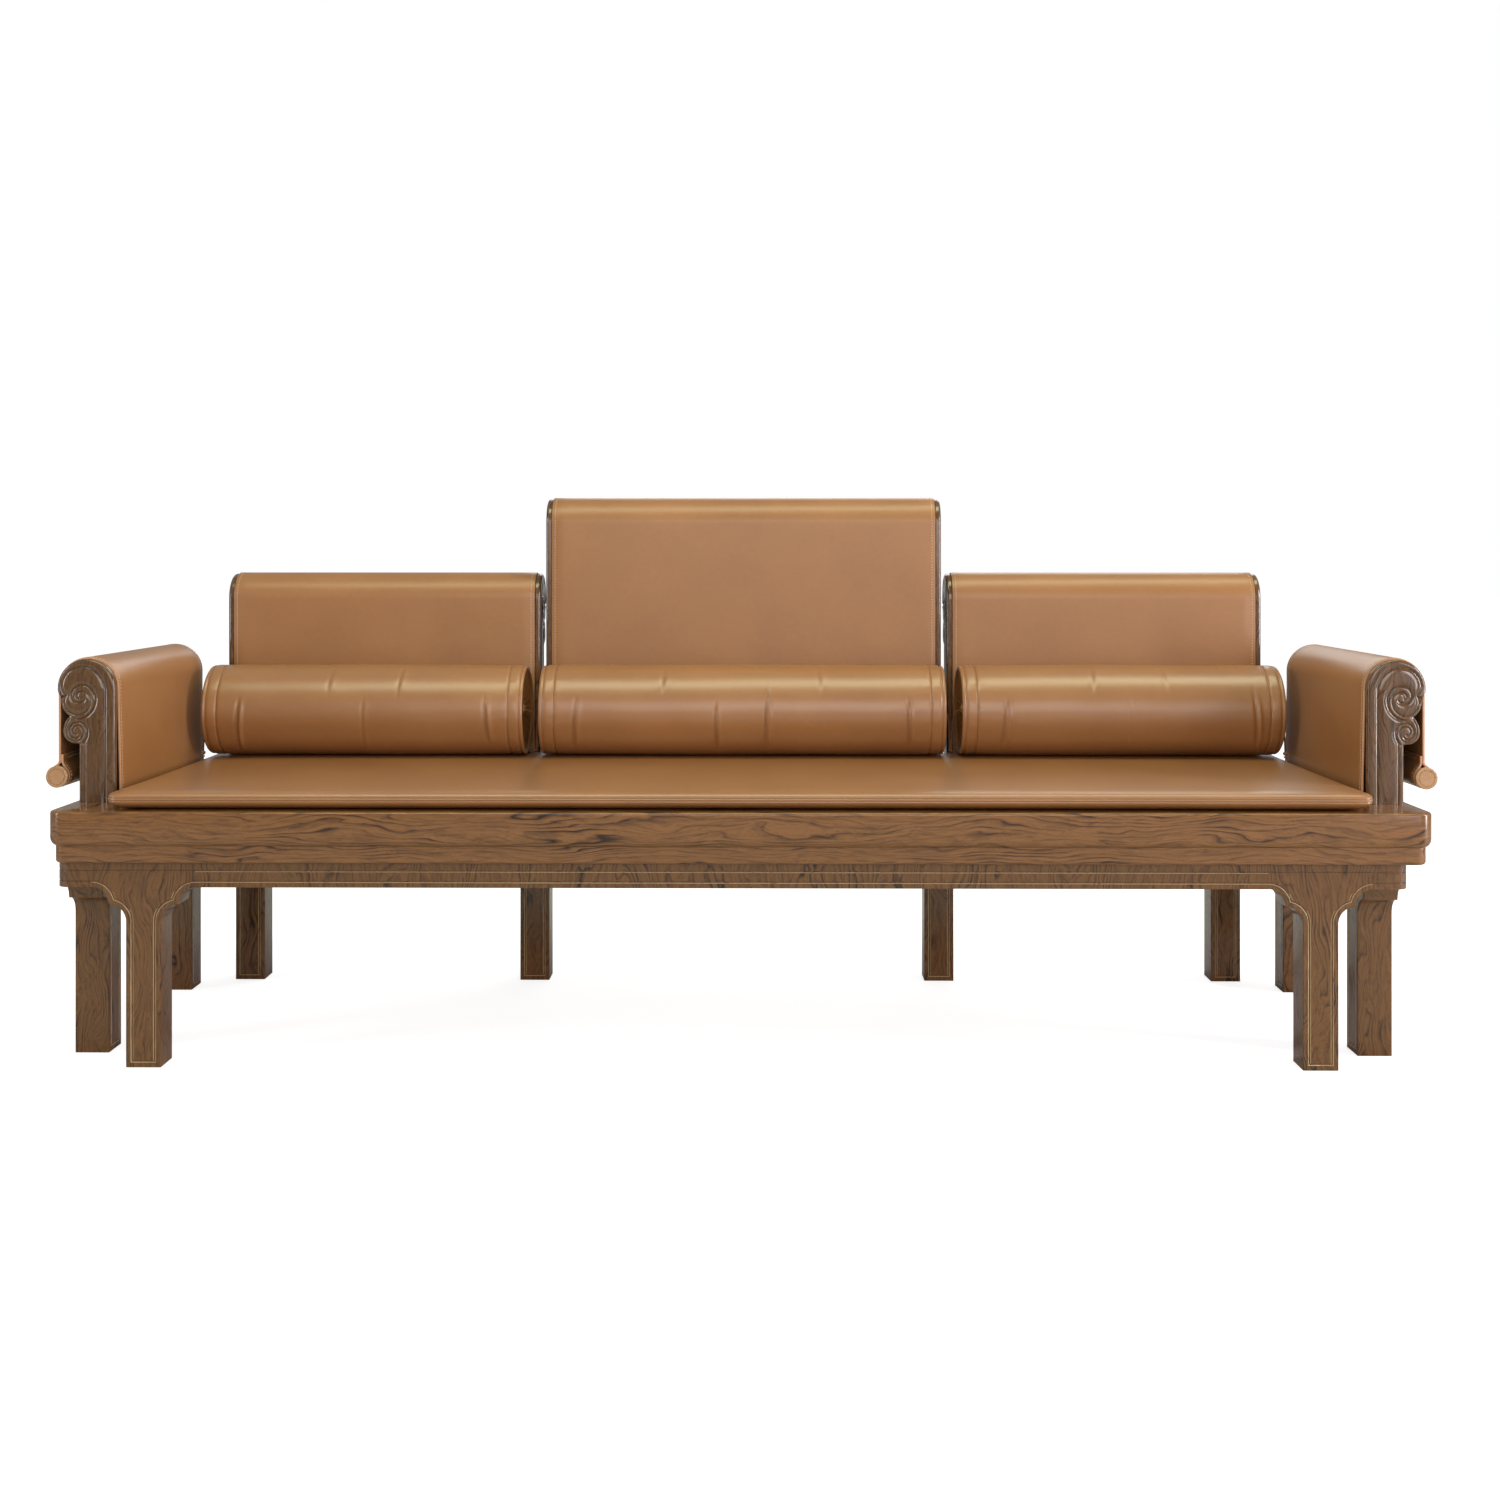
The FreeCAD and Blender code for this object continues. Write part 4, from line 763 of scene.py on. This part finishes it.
# The cut lines, out from the inner face and up from the head's centre. Each has its depth, how far
# the wood rounds down to it on the left and right of its run, and how long its ends take to fade.
cutLines = [
    # rim of the post and the head, as far as the hook
    (3.2, 5, 10, 0, [
        (16.6, -175), (16.6, -120), (16.6, -60), (16.6, -9), (18.0, 4), (22.5, 15.5), (30.5, 25.6),
        (41.0, 32.6), (54.2, 35.4), (67, 32.9), (77.5, 26.4), (84.8, 16.8), (88.0, 6.8), (87.4, 0),
        (85.0, -6.2), (81.2, -12.6)]),
    # notch of the hook
    (5.5, 3.2, 3.2, 0, [(81.2, -12.6), (85, -13.9), (93, -14.4)]),
    # upper scroll, its inner line down to the eye
    (3.2, 3.4, 8, 1, [
        (81.2, -12.6), (83.9, -18), (84.4, -24.4), (82.3, -31.5), (75.6, -39.8), (64.5, -44.2),
        (53.5, -42.4), (46.0, -37), (41.7, -29.5), (40.4, -21.5), (41.6, -13.5), (45.6, -7.8),
        (51.2, -4.9), (57.0, -5.2), (61.8, -8.2), (63.9, -13), (62.4, -17), (58.6, -18)]),
    # upper scroll, its outer line, which ends within the eye
    (3.8, 8, 3.4, 7, [
        (62, -51.2), (54, -50), (44.2, -44.2), (36.6, -34.8), (32.8, -22), (34.2, -10.5), (39.6, -2),
        (46.6, 3.2), (54.2, 4.9), (61.8, 3.3), (68.3, -1.3), (71.9, -8.4), (71.3, -16.2),
        (66.2, -22.2), (59.2, -23.9), (52.6, -21.6), (48.4, -17)]),
    # lower scroll, its inner line
    (3, 3.2, 3.2, 1, [
        (74.5, -49), (77.4, -54), (80.2, -61), (81.3, -68.7), (80.0, -77), (74.8, -84.2),
        (66.6, -87.6), (59.0, -85.7), (53.9, -79.8), (52.4, -72.2), (54.7, -65.4), (60.2, -61.6),
        (66.0, -62.6), (69.5, -67.6), (69.2, -73.2), (65.5, -76.2), (62.0, -74.2)]),
    # lower scroll, its outer line
    (3.4, 7, 3.2, 6, [
        (52.4, -90), (48.4, -84), (46.3, -76), (46.6, -68), (50.0, -61.2), (56.2, -57), (63, -56.2),
        (69.6, -59), (74.3, -65), (75.5, -72), (72.9, -79), (67.3, -82.4), (61.0, -81.4),
        (57.4, -77.4)]),
    # band of the post's outer edge
    (2.4, 3.2, 6, 0, [(50, -85.5), (50, -120), (50, -175)]),
]
# how far out the head may reach at each height, where its outline draws in to the hook's notch
hookOutline = [(2.6, 96), (-4.3, 94.9), (-9.1, 92.9), (-12.6, 90.6), (-14.4, 89.0), (-16.5, 89.3),
               (-22.4, 89.4)]


def smoothLine(corners, step):
    # a Catmull-Rom line through the points, read at even steps: places and directions
    padded = [corners[0]] + corners + [corners[-1]]
    line = []
    for a, b, c, d in zip(padded, padded[1:], padded[2:], padded[3:]):
        a, b, c, d = (Vector(p) for p in (a, b, c, d))
        count = max(2, round((c - b).length / step))
        for i in range(count):
            t = i / count
            spot = (b * 2 + (c - a) * t + (a * 2 - b * 5 + c * 4 - d) * t * t
                    + (b * 3 - a - c * 3 + d) * t * t * t) / 2
            line.append(spot)
    line.append(Vector(corners[-1]))
    runs = [(after - before).normalized() for before, after in zip(line, line[1:])]
    return line, runs + runs[-1:]


def laidLines():
    laid = []
    for depth, left, right, fade, corners in cutLines:
        line, runs = smoothLine(corners, carving["lineStep"])
        tree = KDTree(len(line))
        for i, spot in enumerate(line):
            tree.insert((spot.x, spot.y, 0), i)
        tree.balance()
        laid.append((depth, left, right, fade / carving["lineStep"], line, runs, tree))
    return laid


def roundedDrop(distance, reach, depth):
    # how far a surface has dropped at this distance from its edge, on a quarter round
    share = 1 - min(1, max(0, distance - carving["flatRim"]) / reach)
    return depth * (1 - math.sqrt(max(0, 1 - share * share)))


def edgeDistance(x, z):
    # from a point of the board to its outline: post, head and the two scrolls
    found = leather["headRadius"] - math.hypot(x - leather["headRadius"], z)
    for scroll in ("upperScroll", "lowerScroll", "neck"):
        scrollX, scrollZ, radius = carving[scroll]
        if scroll != "neck" or z > scrollZ:
            found = max(found, radius - math.hypot(x - scrollX, z - scrollZ))
    outer = carving["postWidth"] - x
    if z < 0:
        found = max(found, min(x, outer + carving["postSlack"]))
    return found, outer


def hookLimit(z):
    for (high, start), (low, stop) in zip(hookOutline, hookOutline[1:]):
        if low <= z <= high:
            return start + (stop - start) * (high - z) / (high - low)
    return math.inf


def carvedDepth(x, z, laid):
    edge, outer = edgeDistance(x, z)
    drop = roundedDrop(edge, carving["edgeRound"], carving["edgeDepth"])
    scrollX, scrollZ, radius = carving["lowerScroll"]
    if z < scrollZ and math.hypot(x - scrollX, z - scrollZ) > radius:
        drop = max(drop, roundedDrop(outer, carving["postRound"], carving["postDepth"]))
    for depth, left, right, fade, line, runs, tree in laid:
        spot, i, distance = tree.find((x, z, 0))
        if distance > carving["lineReach"]:
            continue
        run = runs[i]
        aside = (x - spot.x) * -run.y + (z - spot.y) * run.x
        onLeft = 0.5 + 0.5 * aside / max(distance, 0.01)
        share = min(1, (len(line) - 1 - i) / fade) if fade else 1
        reach = right + (left - right) * onLeft
        drop = max(drop, roundedDrop(distance, reach, depth * share ** carving["fade"]))
    return drop


def carveBracket():
    # The CAD bracket gives the board and its outline. Its relief is cut off, the board remeshed
    # fine, and its face then carved along the cut lines with rounded bands between them.
    rest = rests["right_arm"]
    piece = nodeCopy("right_arm_front_bracket", "carving")
    piece.data.transform(rest["place"].inverted())
    openMesh(piece)
    front = carving["boardCut"]
    bpy.ops.mesh.bisect(plane_co=(0, front, 0), plane_no=(0, 1, 0), clear_inner=True)
    bpy.ops.mesh.select_all(action="DESELECT")
    bpy.ops.mesh.select_non_manifold()
    bpy.ops.mesh.extrude_region_move(TRANSFORM_OT_translate={"value": (0, -front, 0)})
    bpy.ops.mesh.edge_face_add()
    bpy.ops.mesh.select_all(action="SELECT")
    bpy.ops.mesh.quads_convert_to_tris()
    bpy.ops.mesh.normals_make_consistent(inside=False)
    closeMesh()
    piece.data.remesh_voxel_size = carving["voxel"]
    bpy.ops.object.voxel_remesh()
    openMesh(piece)
    bpy.ops.mesh.bisect(plane_co=(0, 0, carving["postCut"]), plane_no=(0, 0, 1), clear_inner=True)
    closeMesh()
    head = rest["rise"] - leather["headRadius"]
    deep = carving["faceDeep"]
    laid = laidLines()
    for vertex in piece.data.vertices:
        x, y, z = vertex.co
        z -= head
        if y < carving["hookDeep"]:
            x = min(x, hookLimit(z))
        if y < deep:
            drop = carvedDepth(x, z, laid)
            y = drop + y * (deep - drop) / deep
        vertex.co = (x, y, z + head)
    smooth = piece.modifiers.new("worn", "SMOOTH")
    smooth.factor = 0.5
    smooth.iterations = carving["smooth"]
    thin = piece.modifiers.new("fewerFaces", "DECIMATE")
    thin.ratio = carving["keep"]
    applyModifiers(piece)
    return piece


def bracketFrom(carved, rest, atEnd, node):
    # moves the carved head to this unit's height and draws the plain post down to the seat
    piece = carved.copy()
    piece.data = carved.data.copy()
    bpy.context.scene.collection.objects.link(piece)
    shift = rest["rise"] - rests["right_arm"]["rise"]
    piece.data.transform(Matrix.Translation((0, 0, shift)))
    skin = bmesh.new()
    skin.from_mesh(piece.data)
    rim = [edge for edge in skin.edges if edge.is_boundary]
    for item in bmesh.ops.extrude_edge_only(skin, edges=rim)["geom"]:
        if isinstance(item, bmesh.types.BMVert):
            item.co.z = 0
    skin.to_mesh(piece.data)
    skin.free()
    place = rest["place"]
    if atEnd:
        place = place @ Matrix.Translation((0, rest["length"], 0)) @ Matrix.Scale(-1, 4, (0, 1, 0))
    settle(piece, node + "_carved", walnutCarved, place)
    belong(piece, "frame", "walnut", node)


carved = carveBracket()
for label, rest in rests.items():
    for atEnd, side in enumerate(bracketSides.get(label, ("right", "left"))):
        bracketFrom(carved, rest, bool(atEnd), "%s_%s_bracket" % (label, side))
bpy.data.objects.remove(carved)
print("brackets carved")


# mattress
mattress = {
    "corner": 16,  # all in mm
    "cornerLeast": 8,
    "drawIn": 4,  # how far the long side pulls in between its corners
    "cell": 15,
    "foot": (0.5, 48),  # as in the side
    # height above the seat and how far the side lies in, from under the edge to the shoulder
    "side": [(0.6, 34), (1.4, 26), (2.8, 19), (4.8, 13), (7.4, 7.6), (10.4, 3.6), (13.6, 1.2),
             (15.2, 0.8), (16.0, 2.6), (16.8, 0.8), (18.1, 0.2), (19.5, 0.8), (20.3, 2.6),
             (21.1, 0.9), (22.8, 1.5), (25.2, 3.0), (27.2, 5.8), (28.6, 10), (29.7, 16.5),
             (30.6, 26)],
    "crown": 33.2,
    "crownReach": 120,
    "slack": 1.8,  # how much lower the crown starts before the stuffing swells it
    "pressure": 4,
    "frames": 14,
}


def swellTop(piece, sewnBelow):
    # the stuffing swells the top as cloth under pressure, while the sewn side stays where it is
    sewn = piece.vertex_groups.new(name="sewn")
    held = [v.index for v in piece.data.vertices if v.co.z < sewnBelow + 0.1 * mm]
    sewn.add(held, 1, "REPLACE")
    cloth = piece.modifiers.new("stuffing", "CLOTH")
    cloth.settings.vertex_group_mass = "sewn"
    cloth.settings.quality = 3
    cloth.settings.use_pressure = True
    cloth.settings.uniform_pressure_force = mattress["pressure"]
    cloth.settings.effector_weights.gravity = 0
    cloth.point_cache.frame_start = 1
    cloth.point_cache.frame_end = mattress["frames"]
    for number in range(1, mattress["frames"] + 1):
        bpy.context.scene.frame_set(number)
    seen = piece.evaluated_get(bpy.context.evaluated_depsgraph_get())
    moves = [swollen.co - vertex.co
             for swollen, vertex in zip(seen.data.vertices, piece.data.vertices)]
    furthest = max(move.length for move in moves)
    share = min(1, mattress["slack"] * mm / furthest)
    piece.modifiers.remove(cloth)
    piece.vertex_groups.clear()
    for vertex, move in zip(piece.data.vertices, moves):
        vertex.co += move * share
    bpy.context.scene.frame_set(1)
    print("mattress swollen by", round(furthest * share / mm, 1), "mm")


def makeMattress():
    # a gridded top, its plan rounded and drawn in, with rings round it for the sewn side
    low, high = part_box("seat_pad")
    middle = (low + high) / 2
    halfX, halfY = (high.x - low.x) / 2 / mm, (high.y - low.y) / 2 / mm
    shoulder = mattress["side"][-1][1]
    crown = mattress["crown"] - mattress["slack"]
    clearSelection()
    bpy.ops.mesh.primitive_grid_add(x_subdivisions=round(2 * halfX / mattress["cell"]),
                                    y_subdivisions=round(2 * halfY / mattress["cell"]), size=2)
    piece = bpy.context.object

    def onPlan(x, y, inset):
        # moves a point of the unit square onto the mattress's plan at that inset
        wide, deep = halfX - inset, halfY - inset
        corner = max(mattress["corner"] - inset * 0.3, mattress["cornerLeast"])
        px, py = x * wide, y * deep
        px -= mattress["drawIn"] * (1 - y * y) * x ** 3
        py -= mattress["drawIn"] * (1 - x * x) * y ** 3
        overX, overY = abs(px) - (wide - corner), abs(py) - (deep - corner)
        if overX > 0 and overY > 0:
            # square corner to round: the larger share sets the ring, the angle stays
            reach = max(overX, overY)
            scale = reach / math.hypot(overX, overY)
            px = math.copysign(wide - corner + overX * scale, px)
            py = math.copysign(deep - corner + overY * scale, py)
        return px, py

    base = [(v.co.x, v.co.y) for v in piece.data.vertices]
    skin = bmesh.new()
    skin.from_mesh(piece.data)
    skin.verts.ensure_lookup_table()
    border = [v.index for v in skin.verts if v.is_boundary]
    sides = [(edge.verts[0].index, edge.verts[1].index) for edge in skin.edges if edge.is_boundary]
    tops = list(skin.verts)
    rings = []
    for up, inset in mattress["side"][:-1]:
        rings.append({i: skin.verts.new((*onPlan(*base[i], inset), up)) for i in border})
    for vertex, (x, y) in zip(tops, base):
        px, py = onPlan(x, y, shoulder)
        edge = min(halfX - shoulder - abs(px), halfY - shoulder - abs(py))
        rise = 1 - math.exp(-max(edge, 0) / mattress["crownReach"] * 3)
        top = mattress["side"][-1][0]
        vertex.co = (px, py, top + (crown - top) * rise)
    rings.append({i: tops[i] for i in border})
    up, inset = mattress["foot"]
    foot = {i: skin.verts.new((*onPlan(*base[i], inset), up)) for i in border}
    for lower, upper in zip([foot] + rings, rings):
        for a, b in sides:
            skin.faces.new((lower[a], lower[b], upper[b], upper[a]))
    bmesh.ops.contextual_create(skin, geom=[e for e in skin.edges if e.is_boundary])
    bmesh.ops.recalc_face_normals(skin, faces=skin.faces)
    skin.to_mesh(piece.data)
    skin.free()
    settle(piece, "seat_mattress", stuffedHide,
           Matrix.Translation((middle.x, middle.y, low.z)) @ Matrix.Scale(mm, 4))
    swellTop(piece, low.z + mattress["side"][-1][0] * mm)
    belong(piece, "seat_pad", "saddle_leather", "seat_pad")


makeMattress()
print("mattress made")


# bolsters and their ties
bolster = {
    "skin": 83.2,  # all in mm
    "bulge": 0.8,
    "rowStep": 2.3,
    "around": 144,
    "seam": 28,
    "skinFrom": 79,  # the round skin starts at this radius and depth
    "skinDeep": 8,
    # radius and depth from the end plane, from the knot out over the piped rim
    "end": [(0.0, 9.5), (6, 10), (10, 11.2), (16, 11.6), (24, 11), (33, 9.8), (42, 8.4), (52, 6.9),
            (61, 5.6), (68, 4.7), (73, 4.2), (74.2, 3.2), (75.6, 1.4), (77.4, 0.3), (79.4, 0.3),
            (81.2, 1.4), (82.3, 3.2), (82.5, 5.0), (81.5, 6.4), (80.6, 7.4), (81.6, 8.6),
            (82.9, 10.6), (83.2, 14), (83.2, 19), (83.1, 24), (82.9, 26.2), (82.0, 27.2),
            (80.9, 28), (82.0, 28.8), (82.9, 29.8), (83.2, 33)],
    # slack of the hide: depth and length of its waves, and of the puckers beside the sewn seam
    "longWave": (0.35, 61),
    "shortWave": (0.25, 23),
    "puckers": (0.35, 9),
    "gathers": 26,
    "gatherReach": 74,
    "endDeep": 14,
    "gatherDepth": 1.9,
    "creaseDepth": 1.9,  # times the depths below
    "topCrease": 0.6,  # the same for those on the top, from this angle
    "topFrom": 40,
    "creaseWidth": 0.6,  # times the widths below
}
# creases: distance from the left end, middle and half extent round the roll (90 is the top and
# 0 the front, in degrees), depth, half width, lean, all in mm and degrees
creases = {
    "bolster_left": [
        (66, -20, 36, 2.2, 5.0, 6), (233, 48, 24, 1.3, 7, 5), (297, -18, 40, 0.4, 5, 2),
        (362, 46, 28, 2.0, 6, 5), (524, -10, 30, 2.2, 4.6, -5), (118, 82, 16, 0.9, 5, 14),
        (96, 84, 14, 0.8, 4, 12), (470, 80, 16, 0.8, 5, -10), (500, 84, 14, 0.7, 4, -12),
    ],
    "bolster_centre": [
        (67, -16, 36, 2.0, 4.8, 4), (228, 44, 24, 1.9, 7, 5), (327, -22, 34, 1.9, 4.6, -3),
        (419, -10, 38, 2.1, 4.8, 3), (515, 48, 26, 1.8, 7, -5), (680, -16, 34, 2.1, 4.6, -4),
        (120, 84, 14, 0.8, 5, 10), (345, 80, 18, 0.8, 6, 8), (400, 84, 14, 0.7, 6, -8),
        (455, 82, 14, 0.7, 5, -8), (610, 84, 14, 0.7, 5, 8),
    ],
    "bolster_right": [
        (78, -14, 36, 1.9, 5.2, 5), (240, 46, 26, 2.2, 7, 6), (305, -14, 38, 0.4, 5, 2),
        (372, 50, 26, 1.8, 7, -6), (475, 84, 14, 0.9, 5, 12), (510, 82, 14, 0.8, 5, 12),
        (537, -10, 40, 2.4, 4.8, -7), (120, 84, 14, 0.7, 4, -8),
    ],
}


def creaseDepth(name, along, angle):
    # angle in degrees: 0 at the front, 90 on top
    dip = 0
    for place, middle, extent, depth, width, lean in creases[name]:
        away = (angle - middle + 180) % 360 - 180
        if abs(away) > extent * 1.5:
            continue
        across = (along - place - lean * away / 60) / width
        if abs(across) > 5:
            continue
        fade = math.exp(-(away / extent) ** 4 * 1.6)
        fade *= bolster["topCrease" if middle > bolster["topFrom"] else "creaseDepth"]
        across /= bolster["creaseWidth"]
        # a sharp fold on one side, a soft swell on the other
        fold = -math.exp(-across * across) + 0.55 * math.exp(-((across - 1.9) / 1.4) ** 2)
        dip += depth * fade * fold
    return dip


def makeBolster(name):
    low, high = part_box(name)
    half = (high.x - low.x) / 2 / mm
    middle = (low + high) / 2
    inner = bolster["end"][-1][1]
    count = round(2 * (half - inner) / bolster["rowStep"])
    section = [(-half + deep, radius) for radius, deep in bolster["end"]]
    for i in range(1, count):
        share = i / count
        x = -half + inner + 2 * (half - inner) * share
        section.append((x, bolster["skin"] + bolster["bulge"] * math.sin(math.pi * share) ** 0.5))
    section += [(half - deep, radius) for radius, deep in reversed(bolster["end"])]
    piece = meshPiece(name + "_roll", [(x, -radius, 0) for x, radius in section], [],
                      [(i, i + 1) for i in range(len(section) - 1)])
    openMesh(piece)
    bpy.ops.mesh.spin(steps=bolster["around"], angle=2 * math.pi, center=(0, 0, 0), axis=(1, 0, 0))
    bpy.ops.mesh.select_all(action="SELECT")
    bpy.ops.mesh.remove_doubles(threshold=0.005)
    bpy.ops.mesh.normals_make_consistent(inside=False)
    closeMesh()
    longDepth, longRun = bolster["longWave"]
    shortDepth, shortRun = bolster["shortWave"]
    puckerDepth, puckerRun = bolster["puckers"]
    chance = random.Random(len(name) * 7 + ord(name[-1]))
    phases = [chance.uniform(0, 6.28) for _ in range(8)]
    for vertex in piece.data.vertices:
        x, y, z = vertex.co
        radius = math.hypot(y, z)
        turn = math.atan2(z, -y)
        depth = half - abs(x)
        ownPhases = phases[0 if x < 0 else 4:]
        if radius > bolster["skinFrom"] and depth > bolster["skinDeep"]:
            move = creaseDepth(name, x + half, math.degrees(turn))
            sway = 1.3 * math.sin(turn + phases[1])
            move += longDepth * math.sin(x / longRun + phases[0] + sway)
            wave = shortDepth * math.sin(x / shortRun + 2 * turn + phases[2])
            move += wave * math.sin(turn + phases[3])
            pucker = puckerDepth * math.exp(-abs(depth - bolster["seam"]) / puckerRun)
            pucker *= math.sin(31 * turn + ownPhases[1])
            move += pucker * math.sin(7 * turn + ownPhases[0])
            swell = 1 + move / radius
            vertex.co = (x, y * swell, z * swell)
        elif radius < bolster["gatherReach"] and depth < bolster["endDeep"]:
            # gathers that run in to the knot, deepest half way
            share = radius / bolster["gatherReach"]
            sway = 2.2 * math.sin(3 * turn + ownPhases[0]) * share
            fold = math.sin(bolster["gathers"] * turn + sway)
            amount = bolster["gatherDepth"] * math.sin(math.pi * min(1, share * 1.05)) ** 0.8
            amount *= 0.75 + 0.25 * math.sin(5 * turn)
            vertex.co.x += math.copysign(amount * (0.6 - 0.6 * fold), -x)
    settle(piece, name + "_roll", stuffedHide,
           Matrix.Translation(middle) @ Matrix.Scale(mm, 4))
    belong(piece, name, "saddle_leather", name)
    return half, middle


# points of each tie, in mm: out from the bolster's end, back along y, above its axis
outerTie = [(-8, 0, 0), (7, 0, -1.5), (14, 0.8, -14), (17, -0.6, -34), (18.8, 0.4, -56),
            (19.5, 0, -79)]
innerTie = [(-8, 0, 0), (3, 0.2, -1), (9, 0.5, -9.5), (11.2, -0.4, -26), (12.4, 0.3, -48),
            (12.9, 0, -76)]
# at each end of a bolster: the tie's name, which way it faces, its route and how far along y
ties = {
    "bolster_left": [("outer", -1, outerTie, 0), ("inner", 1, innerTie, -3)],
    "bolster_centre": [("left", -1, innerTie, 3), ("right", 1, innerTie, 3)],
    "bolster_right": [("outer", 1, outerTie, 0), ("inner", -1, innerTie, -3)],
}
tie = {
    "diameter": 3,
    # what hangs on a tip: radius, height as a share of its width, and how far below the tip
    "bead": (4.2, 0.9, 2.52),
    "ring": (3, 0.7, 9.12),
    "knot": (3, 1, 0),
}
gatherKnot = {"radius": 9, "strands": 9, "flat": 0.62, "inside": 8}


def turnedBead(name, place, radius, squash, material):
    # a small turned bead: a ball with a waist line cut round it
    clearSelection()
    bpy.ops.mesh.primitive_uv_sphere_add(segments=20, ring_count=14, radius=radius * mm,
                                         location=place)
    piece = bpy.context.object
    for vertex in piece.data.vertices:
        height = vertex.co.z / (radius * mm)
        vertex.co.z *= squash
        if abs(height) < 0.12:
            vertex.co.x *= 0.93
            vertex.co.y *= 0.93
    return settle(piece, name, material)


def tieCurve(name, points):
    curve = bpy.data.curves.new("tie", "CURVE")
    curve.dimensions = "3D"
    spline = curve.splines.new("NURBS")
    spline.points.add(len(points) - 1)
    for point, spot in zip(spline.points, points):
        point.co = (*spot, 1)
        point.radius = tie["diameter"] / 2 * mm
    spline.order_u = 3
    spline.use_endpoint_u = True
    spline.resolution_u = 8
    curve.bevel_depth = 1
    curve.bevel_resolution = 3
    curve.use_fill_caps = True
    curve.materials.append(tieCord)
    piece = bpy.data.objects.new(name, curve)
    bpy.context.scene.collection.objects.link(piece)
    return piece


def cordLength(piece):
    # measured on the spline itself, with no thickness
    depth = piece.data.bevel_depth
    piece.data.bevel_depth = 0
    bpy.context.view_layer.update()
    line = bpy.data.meshes.new_from_object(piece)
    spots = [vertex.co for vertex in line.vertices]
    total = sum((spots[a] - spots[b]).length for a, b in (e.vertices for e in line.edges))
    bpy.data.meshes.remove(line)
    piece.data.bevel_depth = depth
    return total


def makeGatherKnot(name, side, place):
    # the knot that draws the gathers together
    clearSelection()
    bpy.ops.mesh.primitive_uv_sphere_add(segments=36, ring_count=18, radius=gatherKnot["radius"])
    piece = bpy.context.object
    for vertex in piece.data.vertices:
        turn = math.atan2(vertex.co.y, vertex.co.x)
        reach = vertex.co.z / gatherKnot["radius"]
        strands = math.sin(gatherKnot["strands"] * turn + 3 * reach)
        vertex.co *= 1 + 0.1 * strands * (1 - reach * reach)
        vertex.co.z *= gatherKnot["flat"]
    aim = Matrix.Translation(place) @ Matrix.Rotation(math.radians(90) * side, 4, "Y")
    settle(piece, name, stuffedHide, aim @ Matrix.Scale(mm, 4))
    return piece


def makeTies(name, half, middle):
    for label, side, route, sideways in ties[name]:
        label = "%s_%s" % (name, label)
        face = middle.x + side * half * mm
        points = [Vector((face + side * out * mm, middle.y + (sideways + back) * mm,
                          middle.z + up * mm)) for out, back, up in route]
        piece = tieCurve(label + "_tie", points)
        hanging = []
        for kind in ("bead", "ring") if route is outerTie else ("knot",):
            radius, squash, drop = tie[kind]
            place = points[-1] - Vector((0, 0, drop * mm))
            hanging.append(turnedBead("%s_%s" % (label, kind), place, radius, squash,
                                      tieCord if kind == "knot" else rodY))
        belong(piece, name, "tie_cord", name + "_ties")
        for extra in hanging:
            belong(extra, name, "tie_cord")
        cordLength(piece)
        place = (face - side * gatherKnot["inside"] * mm, middle.y, middle.z)
        belong(makeGatherKnot(label + "_gather_knot", side, place), name, "saddle_leather")


for name in creases:
    makeTies(name, *makeBolster(name))
print("bolsters and ties made")
